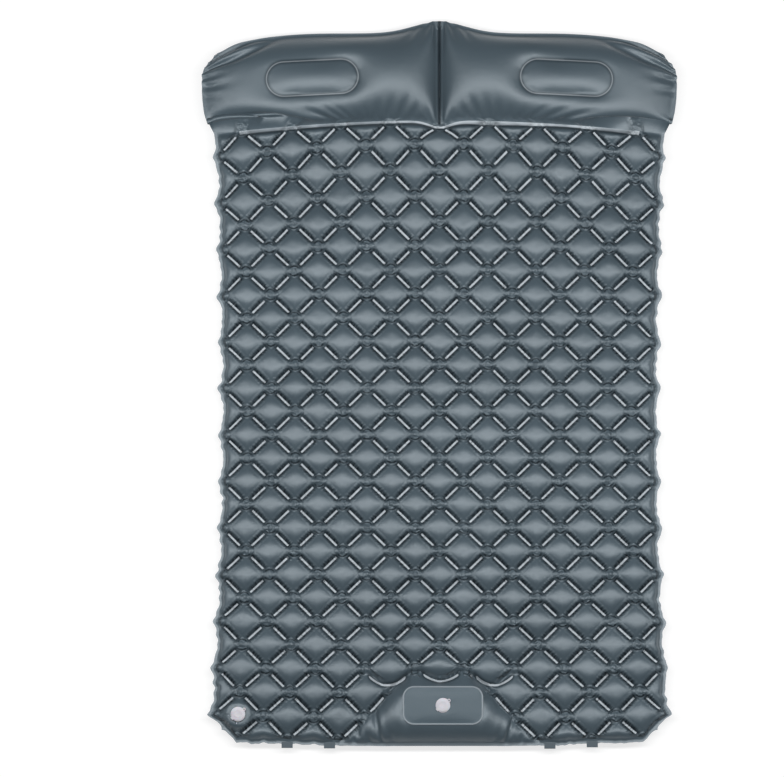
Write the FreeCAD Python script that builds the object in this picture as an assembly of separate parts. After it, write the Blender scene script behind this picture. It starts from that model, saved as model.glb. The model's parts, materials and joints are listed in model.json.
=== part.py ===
"""Double inflatable sleeping pad: a quilted air bed with two built-in pillows, a foot pump and two flat valves.

The pad lies on the floor. +X is to its right, +Y towards the pillows and +Z up. The origin is on the floor under
the middle of the pad. All lengths are in millimetres.

Two coated sheets are welded face to face in the weld plane: round the rim, along the lattice that quilts the
field into diamond cells, round the pillows and round the foot pump. Places on the field are given in lattice
units (u, v): u counts cells from the left rim, v counts cells from the pillows' weld towards the foot.
"""

import FreeCAD
import Part

import math
import os

# ---------------------------------------------------------------- driving dimensions
# Quilted field
HALF_COLUMNS = 4                # cells from the middle column to either side
ROWS = 13                       # cells along the field
CELL_WIDTH = 121.0              # at the waist
CELL_LENGTH = 118.0             # along the sides
HEAD_FLARE = 3.8                # how much wider the cells are at the head of the field
FOOT_FLARE = 6.5                # and at its foot
FIELD_WELD_HEIGHT = 30.0        # weld plane above the floor, so the cells stand this deep below it
CELL_RISE = 27.0                # crown of a cell above the weld plane
HALF_CELL_RISE_SHARE = 0.6      # a half cell at the rim is this much of a whole cell's height
HEAD_BOW = 34.0                 # how far the middle of the first rows is drawn towards the head
HEAD_BOW_FADE = 1.8             # rows over which that fades
SEAM_NOTCH = 16.0               # how far the pillows' weld dips towards the foot at its middle
SEAM_NOTCH_WIDTH = 0.3          # columns to either side that the dip takes
FOOT_BOW = 14.0                 # how far the rim's middle bows out past its corners at the foot
FOOT_BOW_FADE = 1.2
RIM_SCALLOP = 9.0               # how far the rim is drawn in between two cell corners
FLANGE_WIDTH = 8.0              # welded rim outside the air chambers
SKIN = 0.4                      # coated sheet

# Pillows
PILLOW_LENGTH = 224.0           # from the field's weld to the head rim, at the pillow's middle
PILLOW_OVERHANG = 34.0          # how far a pillow stands out past the field's side rim
OVERHANG_AT_SEAM = 30.0         # powers of the distance from the middle by which that sets in, at the weld
OVERHANG_AT_HEAD = 2.0          # and at the head rim
PILLOW_WELD_HEIGHT = 44.0       # weld plane above the floor at the pillows
PILLOW_RISE = 60.0              # crown above the weld plane
PEAK = 31.0                     # how far the rim reaches past the pillows where they meet
PEAK_SPREAD = 0.16              # that peak's width, as a share of half the pad's width
PILLOW_CORNER = 46.0            # how much the outer head corner is rounded off
CORNER_START = 0.45             # share of half the pad's width at which that rounding starts
RAMP_ROWS = 1.5                 # rows over which the weld plane climbs to the pillows
PILLOW_SHOULDER = 0.26          # share of the pillow's length that its rounded front and back take
PILLOW_TURN = 0.4               # where the rounded front and back have their middle edge, as a share of them
PILLOW_SIDE = 1.0               # columns that its rounded ends take
LOBE_RISE_SHARE = 0.25          # the pillow's outer front lobe is this much of its height
BAFFLE_LENGTH = 232.0           # ring-shaped tie inside each pillow
BAFFLE_WIDTH = 88.0
BAFFLE_WALL = 0.8
BAFFLE_TILT = 3.0               # degrees
BAFFLE_FROM_MIDDLE = 317.0      # from the pad's middle line
VENT_RADIUS = 9.0               # air holes through the tie
VENT_COUNT = 3                  # on each of its long sides

# Foot pump
PANEL_LENGTH = 202.0            # foot panel inside its weld bead
PANEL_WIDTH = 98.0
PANEL_CORNER = 28.0
PANEL_OFFSET = 8.0              # the panel sits this far right of the middle
PANEL_FROM_RIM = 92.0           # from the panel's centre to the foot rim's weld
PUMP_RISE = 37.0                # panel above the weld plane
PUMP_SHOULDER = 0.62            # where the cover turns, from its outline to the panel
PUMP_SHOULDER_RISE_SHARE = 0.86
PANEL_STEP = 30.0               # degrees between the corner points of the cover's inner edge
BEAD_WIDTH = 3.0
BEAD_HEIGHT = 0.8
PANEL_THICKNESS = 0.8
PANEL_GAP = 0.3                 # between the panel and its cover
FLOOR_MARGIN = 2.0              # the lower sheet lies flat this far outside the panel's edge
FOAM_MARGIN = 8.0               # foam block's edge inside the panel's edge
FOAM_GAP = 0.3                  # between the foam and the panel
FOAM_POCKET_GAP = 3.0           # round the valve that hangs into the foam

# Flat two-stage valve, used twice
NECK_RADIUS = 16.6
NECK_WALL = 1.6
NECK_HEIGHT = 4.0               # above the sheet's inner face
NECK_DEPTH = 5.0                # below it
VALVE_FLANGE_RADIUS = 25.0
VALVE_FLANGE = 1.0
PATCH_WIDTH = 7.0               # reinforcing ring welded under the flange, inside the chamber
PATCH_THICKNESS = 0.5
NECK_HOLE_GAP = 0.2
PLUG_GAP = 0.3                  # plug in neck, and plug's rim over neck
PLUG_WALL = 2.0
PLUG_RIM_RADIUS = 18.4
PLUG_RIM = 1.4
SEAT_THICKNESS = 1.2            # the plug's floor, on which the flap closes
SEAT_HOLE_RADIUS = 2.2
SEAT_HOLE_CIRCLE = 6.8          # radius of the circle of air holes
SEAT_HOLE_COUNT = 5
FLAP_THICKNESS = 0.6
FLAP_MARGIN = 1.6               # flap's edge inside the plug's outside
FLAP_GAP = 0.1                  # under the seat, and between stem and seat
FLAP_STEM_RADIUS = 1.5
FLAP_HEAD_RADIUS = 2.6
FLAP_HEAD = 0.9
FLAP_LIFT = 1.4                 # how far the flap drops off its seat
CAP_RADIUS = 16.0
CAP_THICKNESS = 1.6
CAP_GAP = 0.3                   # cap over plug
SPIGOT_GAP = 0.6                # the cap's spigot in the plug's bore
SPIGOT_DEPTH = 3.0
SPIGOT_WALL = 1.5
LOOP_RADIUS = 4.4               # pull loop on the cap's rim
LOOP_HOLE_RADIUS = 2.0
STRAP_WIDTH = 8.0
STRAP_GAP = 0.3                 # between its two halves at the hinge line
LOOP_ANGLE = 38.0               # degrees from +X; the strap is opposite
GRIP_RADIUS = 9.5               # raised ring on the cap
GRIP_HEIGHT = 0.5
GRIP_WIDTH = 0.9
MAIN_SEAT_RISE = 26.0           # flat seat of the main valve above the weld plane
MAIN_SEAT_SHARE = 0.66          # seat's corner, from the cell's centre to its corner
ROUND_SIDES = 28                # round parts are prisms with this many sides, a multiple of four
TOUCHING = 1e-6                 # two points nearer than this are one

# Check valve from the pump into the bed
CHECK_LENGTH = 34.0
CHECK_WIDTH = 16.0
CHECK_HEIGHT = 4.0
CHECK_SLOT_WIDTH = 11.0
CHECK_SLOT_HEIGHT = 1.8
CHECK_FLAP = 0.5
CHECK_FLAP_GAP = 0.3
CHECK_CLEARANCE = 0.8           # between the sleeve and the sheets welded round it

# ---------------------------------------------------------------- what follows from them
COLUMNS = 2 * HALF_COLUMNS + 1          # cells across the field
MIDDLE = COLUMNS / 2
FIELD_LENGTH = ROWS * CELL_LENGTH
SEAM_BOW_AT_PILLOW = 0.75 * HEAD_BOW    # the seam's bow at the middle of a pillow
LENGTH = 2 * FLANGE_WIDTH + FOOT_BOW + FIELD_LENGTH + SEAM_BOW_AT_PILLOW + PILLOW_LENGTH + PEAK
HEAD_Y = LENGTH / 2
FOOT_Y = -LENGTH / 2
SEAM_Y = FOOT_Y + FLANGE_WIDTH + FOOT_BOW + FIELD_LENGTH
PANEL_X = PANEL_OFFSET
PANEL_Y = FOOT_Y + FLANGE_WIDTH + PANEL_FROM_RIM
PANEL_Z = FIELD_WELD_HEIGHT + PUMP_RISE
PUMP_REACH = 2                          # columns from the middle to the pump's foot corners
PUMP_ROWS = 1                           # whole rows of cells that the pump replaces
PUMP_DIPS = {0: 1.26, 1: 1.08}          # rows from the foot of the outline's lowered corners, by column
CHECK_AT = (MIDDLE - 1.5, ROWS - 0.5)   # the pump's left knee
CHECK_BUMP = CHECK_HEIGHT / 2 + CHECK_CLEARANCE
MAIN_VALVE_AT = (0.5, ROWS - 0.5)


def vec(x, y, z=0.0):
    return FreeCAD.Vector(x, y, z)


def smooth(t):
    """0 to 1 with level ends."""
    t = max(0.0, min(1.0, t))
    return t * t * (3 - 2 * t)


# ---------------------------------------------------------------- plan of the pad
def weld_height(v):
    """The weld plane's height above the floor: it climbs to the pillows over the first rows."""
    climb = smooth((RAMP_ROWS - v) / RAMP_ROWS)
    return FIELD_WELD_HEIGHT + (PILLOW_WELD_HEIGHT - FIELD_WELD_HEIGHT) * climb


def lattice(u, v):
    """Where the lattice point (u, v) of the field lies on the plan."""
    along = 2 * v / ROWS - 1
    width = CELL_WIDTH + (HEAD_FLARE if along < 0 else FOOT_FLARE) * along ** 2
    side = (u - MIDDLE) / MIDDLE
    bow = HEAD_BOW * math.exp(-max(v - 0.5, 0.0) / HEAD_BOW_FADE)
    bow -= FOOT_BOW * math.exp(-(ROWS - v) / FOOT_BOW_FADE)
    notch = SEAM_NOTCH * math.exp(-((u - MIDDLE) / SEAM_NOTCH_WIDTH) ** 2) * max(0.0, 1 - 2 * v)
    return (u - MIDDLE) * width, SEAM_Y - v * CELL_LENGTH + bow * (1 - side ** 2) - notch


def pillow(u, b):
    """Where a pillow's point lies: column u, and b from 0 at the field's weld to 1 at the head rim."""
    x, y = lattice(u, 0)
    side = abs(u - MIDDLE) / MIDDLE
    head = HEAD_Y - FLANGE_WIDTH - PEAK * (1 - math.exp(-(side / PEAK_SPREAD) ** 2))
    corner = max(0.0, side - CORNER_START) / (1 - CORNER_START)
    power = OVERHANG_AT_HEAD + (OVERHANG_AT_SEAM - OVERHANG_AT_HEAD) * (1 - b) ** 4
    overhang = PILLOW_OVERHANG * side ** power * math.sin(math.pi * (0.15 + 0.55 * b))
    x += math.copysign(overhang - 0.5 * PILLOW_CORNER * corner ** 8 * b ** 6, x)
    return x, y + (head - y) * b - PILLOW_CORNER * corner ** 2.5 * b ** 3


def field(u, v):
    """A field point, with the rim drawn in beside each half cell."""
    if v == 0:
        return pillow(u, 0)
    x, y = lattice(u, v)
    if u in (0, COLUMNS) and v == int(v):
        x -= math.copysign(RIM_SCALLOP, x)
    if v == ROWS and u == int(u) and abs(u - MIDDLE) > 2:
        y += RIM_SCALLOP
    return x, y


# ---------------------------------------------------------------- sheets
class Sheet:
    """A facetted sheet: named points with a height over the weld plane, and the triangles between them."""

    def __init__(self):
        self.points = {}
        self.facets = []

    def point(self, name, place, weld, rise=0.0):
        self.points[name] = (place[0], place[1], weld, rise)
        return name

    def facet(self, *names):
        """A polygon, given counter-clockwise from above, cut into a fan of triangles."""
        for b, c in zip(names[1:], names[2:]):
            self.facets.append((names[0], b, c))

    def fan(self, centre, ring):
        for a, b in zip(ring, ring[1:] + ring[:1]):
            self.facet(centre, a, b)

    def band(self, outer, inner):
        """Quadrilaterals between two rings with as many points, both counter-clockwise from above."""
        for k in range(len(outer)):
            n = (k + 1) % len(outer)
            self.facet(outer[k], outer[n], inner[n], inner[k])

    def open_edges(self):
        """The sheet's open edges, each as (start, end) with the sheet on its left."""
        edges = set()
        for a, b, c in self.facets:
            for edge in ((a, b), (b, c), (c, a)):
                if edge[::-1] in edges:
                    edges.remove(edge[::-1])
                else:
                    edges.add(edge)
        return sorted(edges, key=str)

    def rim(self):
        """The outer edge of the flat welded rim: a place beside each point on the sheet's open edge."""
        after = dict(self.open_edges())
        places = {}
        for before, name in after.items():
            start, end = self.points[before], self.points[after[name]]
            along = vec(end[0] - start[0], end[1] - start[1]).normalize()
            x, y = self.points[name][:2]
            places[name] = (x + along.y * FLANGE_WIDTH, y - along.x * FLANGE_WIDTH)
        return places

    def flange(self, rim):
        """Adds the flat welded rim beside the open edges that lie along it."""
        for a, b in self.open_edges():
            if a in rim and b in rim:
                for name in (a, b):
                    self.point(("flange", name), rim[name], self.points[name][2])
                self.facet(("flange", a), ("flange", b), b, a)

    def solid(self, side):
        """The sheet as a solid of its own thickness: side 1 is the upper sheet, -1 the lower one."""
        index = {name: k for k, name in enumerate(self.points)}
        near = [vec(x, y, weld + side * rise) for x, y, weld, rise in self.points.values()]
        far = [p + vec(0, 0, side * SKIN) for p in near]
        low, high = (near, far) if side > 0 else (far, near)
        count = len(index)
        facets = [(index[a] + count, index[b] + count, index[c] + count) for a, b, c in self.facets]
        facets += [(index[c], index[b], index[a]) for a, b, c in self.facets]
        for a, b in self.open_edges():
            i, j = index[a], index[b]
            facets += [(i, j, j + count), (i, j + count, i + count)]
        points = low + high
        faces = [Part.Face(Part.makePolygon([points[i] for i in f + f[:1]])) for f in facets]
        return Part.makeSolid(Part.makeShell(faces))


def node(sheet, u, v):
    """A corner of the lattice. Those on the pump's outline and at its check valve are moved to suit."""
    rise = CHECK_BUMP if (u, v) == CHECK_AT else 0.0
    dip = PUMP_DIPS.get(abs(u - MIDDLE)) if v == ROWS - 1 else None
    place = field(u, v if dip is None else ROWS - dip)
    return sheet.point((u, v), place, weld_height(v), rise)


def in_pump(u, v):
    """Whether the cell with this centre gives way to the pump."""
    return abs(u - MIDDLE) + ROWS - v < PUMP_REACH and ROWS - v <= PUMP_ROWS


def add_cell(sheet, u, v, rise):
    """One diamond cell, or the part of it inside the rim, raised to its crown. Returns its corners."""
    corners = [(u, max(v - 0.5, 0)), (max(u - 0.5, 0), v), (u, min(v + 0.5, ROWS)), (min(u + 0.5, COLUMNS), v)]
    ring = [node(sheet, *corner) for corner in corners]
    centre = [sum(sheet.points[n][k] for n in ring) / len(ring) for k in (0, 1)]
    whole = 0 < u < COLUMNS and 0 < v < ROWS
    crown = sheet.point(("crown", u, v), centre, weld_height(v), rise * (1 if whole else HALF_CELL_RISE_SHARE))
    sheet.fan(crown, ring)
    return ring


def add_valve_cell(sheet, u, v, rise):
    """The cell under the main valve, with a flat crown for its seat."""
    before = len(sheet.facets)
    ring = add_cell(sheet, u, v, rise)
    del sheet.facets[before:]
    crown = sheet.points[("crown", u, v)]
    seat = []
    for n in ring:
        place = [c + MAIN_SEAT_SHARE * (corner - c) for c, corner in zip(crown, sheet.points[n][:2])]
        seat.append(sheet.point(("seat", n), place, crown[2], rise))
    sheet.band(ring, seat)
    sheet.facet(*seat)
    del sheet.points[("crown", u, v)]


def add_field(sheet, rise):
    """All the cells of the quilted field, down to the pump's outline. The main valve's cell is left out."""
    for row in range(2 * ROWS + 1):
        for column in range(row % 2, 2 * COLUMNS + 1, 2):
            u, v = column / 2, row / 2
            corner_of_field = u in (0, COLUMNS) and v in (0, ROWS)
            if not corner_of_field and not in_pump(u, v) and (u, v) != MAIN_VALVE_AT:
                add_cell(sheet, u, v, rise)


def quarter_round(t):
    """The rise of a rounded shoulder, from 0 at its weld to 1 where t reaches 1."""
    return math.sqrt(1 - (1 - max(0.0, min(1.0, t))) ** 2)


def add_pillow(sheet, side, rise):
    """One pillow: side -1 is the left one. Its crown is level over the tie inside it."""
    outer, steps = MIDDLE + side * MIDDLE, COLUMNS
    front = [0, PILLOW_SHOULDER * PILLOW_TURN, PILLOW_SHOULDER]
    rows = front + [1 - b for b in front[::-1]]
    weld = weld_height(0)
    grid = []
    for b in rows:
        across = []
        for k in range(steps + 1):
            u = outer - side * k / 2
            ends = quarter_round(k / 2 / PILLOW_SIDE) * quarter_round((MIDDLE - k / 2) / PILLOW_SIDE)
            height = rise * ends * quarter_round(min(b, 1 - b) / PILLOW_SHOULDER)
            name = (u, 0) if b == 0 else ("pillow", u, b)
            across.append(sheet.point(name, pillow(u, b), weld, height))
        grid.append(across if side < 0 else across[::-1])
    for near, far in zip(grid, grid[1:]):
        for k in range(steps):
            sheet.facet(near[k], near[k + 1], far[k + 1], far[k])
    tip, corner, inner = node(sheet, outer, 0.5), (outer, 0), (outer - side * 0.5, 0)
    ring = [corner, tip, inner] if side < 0 else [inner, tip, corner]
    place = [sum(sheet.points[n][k] for n in ring) / 3 for k in (0, 1)]
    sheet.fan(sheet.point(("lobe", side), place, weld, rise * LOBE_RISE_SHARE), ring)


def pump_outline(sheet):
    """The pump's outline, counter-clockwise from its left foot corner."""
    reach = PUMP_REACH
    foot = [(MIDDLE + k, ROWS) for k in range(-reach, reach + 1)]
    right = [(MIDDLE + 1.5, ROWS - 0.5), (MIDDLE + 1, ROWS - 1), (MIDDLE + 0.5, ROWS - 1.5)]
    left = [(2 * MIDDLE - u, v) for u, v in right]
    return [node(sheet, u, v) for u, v in foot + right + [(MIDDLE, ROWS - 1)] + left[::-1]]


def lower_sheet():
    """The lower sheet up to its rim: the same welds, with its cells, pillows and pump standing on the floor."""
    sheet = Sheet()
    depth = FIELD_WELD_HEIGHT - SKIN
    add_field(sheet, depth)
    add_cell(sheet, *MAIN_VALVE_AT, depth)
    add_pillow(sheet, -1, PILLOW_WELD_HEIGHT - SKIN)
    add_pillow(sheet, 1, PILLOW_WELD_HEIGHT - SKIN)
    floor = add_pump_flank(sheet, FLOOR_MARGIN, depth)
    sheet.fan(sheet.point("pump floor", (PANEL_X, PANEL_Y), FIELD_WELD_HEIGHT, depth), floor)
    return sheet


def bottom_skin(rim):
    sheet = lower_sheet()
    sheet.flange(rim)
    return sheet.solid(-1)


def top_skin(rim):
    """The quilted upper sheet, open where the pump's cover is welded in."""
    sheet = Sheet()
    add_field(sheet, CELL_RISE)
    add_valve_cell(sheet, *MAIN_VALVE_AT, MAIN_SEAT_RISE)
    sheet.flange(rim)
    return sheet.solid(1).cut(valve_hole(main_valve_place()))


def pillow_skin(rim, side):
    sheet = Sheet()
    add_pillow(sheet, side, PILLOW_RISE)
    sheet.flange(rim)
    return sheet.solid(1)


# ---------------------------------------------------------------- foot pump
def panel_ring(grow):
    """Twenty-four points round the panel, grow outside its edge, from its left foot corner on.

    Each rounded corner has four of them, its long foot edge three more and its long head edge five."""
    radius = PANEL_CORNER + grow
    half_x, half_y = PANEL_LENGTH / 2 - PANEL_CORNER, PANEL_WIDTH / 2 - PANEL_CORNER
    step = math.radians(PANEL_STEP)
    reach = radius / math.cos(step / 2)
    ring = []
    for start, x, y, inner in ((-6, -half_x, -half_y, 3), (-3, half_x, -half_y, 0),
                               (0, half_x, half_y, 5), (3, -half_x, half_y, 0)):
        for k in range(start, start + 4):
            ring.append((x + reach * math.cos(step * k), y + reach * math.sin(step * k)))
        for k in range(1, inner + 1):
            ring.append((x - 2 * x * k / (inner + 1), y + math.copysign(radius, y)))
    return [(PANEL_X + x, PANEL_Y + y) for x, y in ring[1:] + ring[:1]]


def add_pump_flank(sheet, grow, rise):
    """The pump's flank, from its outline to a ring round the panel, which is returned."""
    outline = pump_outline(sheet)
    count = len(outline)
    turn, inner = [], []
    for k, place in enumerate(panel_ring(grow)):
        ends = [sheet.points[outline[n % count]] for n in (k // 2, (k + 1) // 2)]
        start = [(ends[0][n] + ends[1][n]) / 2 for n in (0, 1)]
        between = [a + PUMP_SHOULDER * (b - a) for a, b in zip(start, place)]
        turn.append(sheet.point(("turn", k), between, FIELD_WELD_HEIGHT, rise * PUMP_SHOULDER_RISE_SHARE))
        inner.append(sheet.point(("panel", k), place, FIELD_WELD_HEIGHT, rise))
    for k in range(count):
        start, middle, end = turn[2 * k], turn[2 * k + 1], turn[(2 * k + 2) % (2 * count)]
        sheet.facet(outline[k], outline[(k + 1) % count], end, middle, start)
    sheet.band(turn, inner)
    return inner


def pump_cover(rim):
    """The flank of the pump's dome, open where the panel lies."""
    sheet = Sheet()
    add_pump_flank(sheet, PANEL_GAP, PUMP_RISE)
    sheet.flange(rim)
    return sheet.solid(1)


def circle(radius, x=0.0, y=0.0, first=0, last=ROUND_SIDES):
    """Corner points of a regular polygon on this circle, counted from its right-hand point."""
    turns = [2 * math.pi * k / ROUND_SIDES for k in range(first, last)]
    return [(x + radius * math.cos(turn), y + radius * math.sin(turn)) for turn in turns]


def prism(points, z, height):
    """An upright block over a plan outline."""
    corners = [vec(x, y, z) for x, y in points]
    corners = [c for c, before in zip(corners, corners[-1:] + corners[:-1]) if (c - before).Length > TOUCHING]
    return Part.Face(Part.makePolygon(corners + corners[:1])).extrude(vec(0, 0, height))


def rounded_block(length, width, corner, height, place):
    """A block with rounded upright edges, centred on place in plan and standing on it."""
    quarter, outline = ROUND_SIDES // 4, []
    for k, (x, y) in enumerate(((1, 1), (-1, 1), (-1, -1), (1, -1))):
        centre = (place[0] + x * (length / 2 - corner), place[1] + y * (width / 2 - corner))
        outline += circle(corner, *centre, k * quarter, (k + 1) * quarter + 1)
    return prism(outline, place[2], height)


def pump_panel():
    """The foot panel with its raised weld bead and the hole for its valve."""
    plate = rounded_block(PANEL_LENGTH, PANEL_WIDTH, PANEL_CORNER, PANEL_THICKNESS, (PANEL_X, PANEL_Y, PANEL_Z))
    top = (PANEL_X, PANEL_Y, PANEL_Z + PANEL_THICKNESS)
    bead = rounded_block(PANEL_LENGTH, PANEL_WIDTH, PANEL_CORNER, BEAD_HEIGHT, top)
    inside = [size - 2 * BEAD_WIDTH for size in (PANEL_LENGTH, PANEL_WIDTH)]
    bead = bead.cut(rounded_block(*inside, PANEL_CORNER - BEAD_WIDTH, BEAD_HEIGHT, top))
    return plate.fuse(bead).cut(valve_hole((PANEL_X, PANEL_Y, PANEL_Z)))


def pump_foam():
    """The open-cell block that springs the pump back, with a pocket round the valve above it."""
    length, width = PANEL_LENGTH - 2 * FOAM_MARGIN, PANEL_WIDTH - 2 * FOAM_MARGIN
    height = PANEL_Z - FOAM_GAP - SKIN
    block = rounded_block(length, width, PANEL_CORNER - FOAM_MARGIN, height, (PANEL_X, PANEL_Y, SKIN))
    depth = NECK_DEPTH + FLAP_THICKNESS + FLAP_LIFT + FOAM_POCKET_GAP
    return block.cut(disc(VALVE_FLANGE_RADIUS + FOAM_POCKET_GAP, -depth, depth, (PANEL_X, PANEL_Y, PANEL_Z)))


def check_sleeve():
    """The flat sleeve through the pump's left knee that lets air from the pump into the bed."""
    x, y = field(*CHECK_AT)
    corner = vec(x - CHECK_LENGTH / 2, y - CHECK_WIDTH / 2, FIELD_WELD_HEIGHT - CHECK_HEIGHT / 2)
    sleeve = Part.makeBox(CHECK_LENGTH, CHECK_WIDTH, CHECK_HEIGHT, corner)
    corner = vec(x - CHECK_LENGTH / 2, y - CHECK_SLOT_WIDTH / 2, FIELD_WELD_HEIGHT - CHECK_SLOT_HEIGHT / 2)
    return sleeve.cut(Part.makeBox(CHECK_LENGTH, CHECK_SLOT_WIDTH, CHECK_SLOT_HEIGHT, corner))


def check_flap():
    """The flap over the sleeve's outlet. It swings away from the pump about its upper edge."""
    x, y = field(*CHECK_AT)
    left = x - CHECK_LENGTH / 2 - CHECK_FLAP_GAP - CHECK_FLAP
    corner = vec(left, y - CHECK_WIDTH / 2, FIELD_WELD_HEIGHT - CHECK_HEIGHT / 2)
    return Part.makeBox(CHECK_FLAP, CHECK_WIDTH, CHECK_HEIGHT, corner)


# ---------------------------------------------------------------- pillow ties
def pillow_baffle(side):
    """The ring-shaped tie that holds a pillow's two sheets together, with its air holes."""
    u = MIDDLE + side * BAFFLE_FROM_MIDDLE / (CELL_WIDTH + HEAD_FLARE)
    x, y = pillow(u, 0.5)
    height = PILLOW_WELD_HEIGHT + PILLOW_RISE - SKIN
    inside = [size - 2 * BAFFLE_WALL for size in (BAFFLE_LENGTH, BAFFLE_WIDTH)]
    tie = rounded_block(BAFFLE_LENGTH, BAFFLE_WIDTH, BAFFLE_WIDTH / 2, height, (0, 0, SKIN))
    tie = tie.cut(rounded_block(*inside, inside[1] / 2, height, (0, 0, SKIN)))
    pitch = (BAFFLE_LENGTH - BAFFLE_WIDTH) / VENT_COUNT
    for k in range(VENT_COUNT):
        vent = prism(circle(VENT_RADIUS), -BAFFLE_WIDTH, 2 * BAFFLE_WIDTH)
        vent.rotate(vec(0, 0), vec(1, 0, 0), 90)
        vent.translate(vec(pitch * (k - (VENT_COUNT - 1) / 2), 0, SKIN + height / 2))
        tie = tie.cut(vent)
    tie.rotate(vec(0, 0), vec(0, 0, 1), -side * BAFFLE_TILT)
    tie.translate(vec(x, y))
    return tie


# ---------------------------------------------------------------- valves
def disc(radius, z, height, place, outwards=(0.0, 0.0)):
    """A round piece on a valve's axis, or beside it. z is counted from the valve's seat on the sheet."""
    x, y, seat = place
    return prism(circle(radius, x + outwards[0], y + outwards[1]), seat + z, height)


def ring(outer, inner, z, height, place, outwards=(0.0, 0.0)):
    return disc(outer, z, height, place, outwards).cut(disc(inner, z, height, place, outwards))


def main_valve_place():
    """The middle of the main valve's seat: the middle of its cell's corners."""
    u, v = MAIN_VALVE_AT
    corners = [field(u, v - 0.5), field(u - 0.5, v), field(u, v + 0.5), field(u + 0.5, v)]
    x, y = [sum(corner[k] for corner in corners) / len(corners) for k in (0, 1)]
    return x, y, FIELD_WELD_HEIGHT + MAIN_SEAT_RISE


def valve_hole(place):
    """The hole in a sheet that a valve's neck stands through."""
    return disc(NECK_RADIUS + NECK_HOLE_GAP, -NECK_DEPTH, NECK_DEPTH + NECK_HEIGHT, place)


def valve_base(place):
    """Flange under the sheet, with the neck that stands through it."""
    inner = NECK_RADIUS - NECK_WALL
    flange = ring(VALVE_FLANGE_RADIUS, inner, -VALVE_FLANGE, VALVE_FLANGE, place)
    return flange.fuse(ring(NECK_RADIUS, inner, -NECK_DEPTH, NECK_DEPTH + NECK_HEIGHT, place)).removeSplitter()


def valve_patch(place):
    """The reinforcing ring under the flange's edge."""
    return ring(VALVE_FLANGE_RADIUS, VALVE_FLANGE_RADIUS - PATCH_WIDTH, -VALVE_FLANGE - PATCH_THICKNESS,
                PATCH_THICKNESS, place)


def plug_radius():
    return NECK_RADIUS - NECK_WALL - PLUG_GAP


def hinge_reach():
    """From the valve's axis to the strap's hinge line."""
    return PLUG_RIM_RADIUS + STRAP_WIDTH / 4


def strap(place, start, end, z, height):
    """A flat strap that runs outwards from the valve, away from the pull loop."""
    x, y, seat = place
    block = Part.makeBox(end - start, STRAP_WIDTH, height, vec(start, -STRAP_WIDTH / 2, z))
    block.rotate(vec(0, 0), vec(0, 0, 1), LOOP_ANGLE + 180)
    block.translate(vec(x, y, seat))
    return block


def valve_plug(place):
    """The removable plug: a cup with a rim over the neck and air holes through its floor."""
    radius, bore, top = plug_radius(), plug_radius() - PLUG_WALL, NECK_HEIGHT + PLUG_GAP
    rim = disc(PLUG_RIM_RADIUS, top, PLUG_RIM, place)
    rim = rim.fuse(strap(place, radius, hinge_reach() - STRAP_GAP, top, PLUG_RIM))
    body = rim.fuse(disc(radius, -NECK_DEPTH, NECK_DEPTH + top, place))
    floor_top = SEAT_THICKNESS - NECK_DEPTH
    body = body.cut(disc(bore, floor_top, top + PLUG_RIM - floor_top, place))
    body = body.cut(disc(FLAP_STEM_RADIUS + FLAP_GAP, -NECK_DEPTH, SEAT_THICKNESS, place))
    for k in range(SEAT_HOLE_COUNT):
        turn = 2 * math.pi * k / SEAT_HOLE_COUNT
        at = (SEAT_HOLE_CIRCLE * math.cos(turn), SEAT_HOLE_CIRCLE * math.sin(turn))
        body = body.cut(disc(SEAT_HOLE_RADIUS, -NECK_DEPTH, SEAT_THICKNESS, place, at))
    return body.removeSplitter()


def valve_flap(place):
    """The one-way flap under the plug's floor, held by a headed stem through it."""
    top = -NECK_DEPTH - FLAP_GAP
    stem = SEAT_THICKNESS + FLAP_GAP + FLAP_LIFT + FLAP_GAP
    flap = disc(plug_radius() - FLAP_MARGIN, top - FLAP_THICKNESS, FLAP_THICKNESS, place)
    flap = flap.fuse(disc(FLAP_STEM_RADIUS, top, stem, place))
    return flap.fuse(disc(FLAP_HEAD_RADIUS, top + stem, FLAP_HEAD, place)).removeSplitter()


def valve_cap(place):
    """The lid with its spigot, grip ring, pull loop and the cap's half of the strap."""
    z = NECK_HEIGHT + PLUG_GAP + PLUG_RIM + CAP_GAP
    turn = math.radians(LOOP_ANGLE)
    reach = CAP_RADIUS + LOOP_RADIUS - 1.5 * GRIP_WIDTH
    loop = (reach * math.cos(turn), reach * math.sin(turn))
    spigot = plug_radius() - PLUG_WALL - SPIGOT_GAP
    cap = disc(CAP_RADIUS, z, CAP_THICKNESS, place)
    cap = cap.fuse(disc(LOOP_RADIUS, z, CAP_THICKNESS, place, loop))
    cap = cap.cut(disc(LOOP_HOLE_RADIUS, z, CAP_THICKNESS, place, loop))
    cap = cap.fuse(strap(place, CAP_RADIUS / 2, hinge_reach(), z, CAP_THICKNESS))
    cap = cap.fuse(ring(spigot, spigot - SPIGOT_WALL, z - SPIGOT_DEPTH, SPIGOT_DEPTH, place))
    grip = ring(GRIP_RADIUS, GRIP_RADIUS - GRIP_WIDTH, z + CAP_THICKNESS, GRIP_HEIGHT, place)
    return cap.fuse(grip).removeSplitter()


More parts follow.
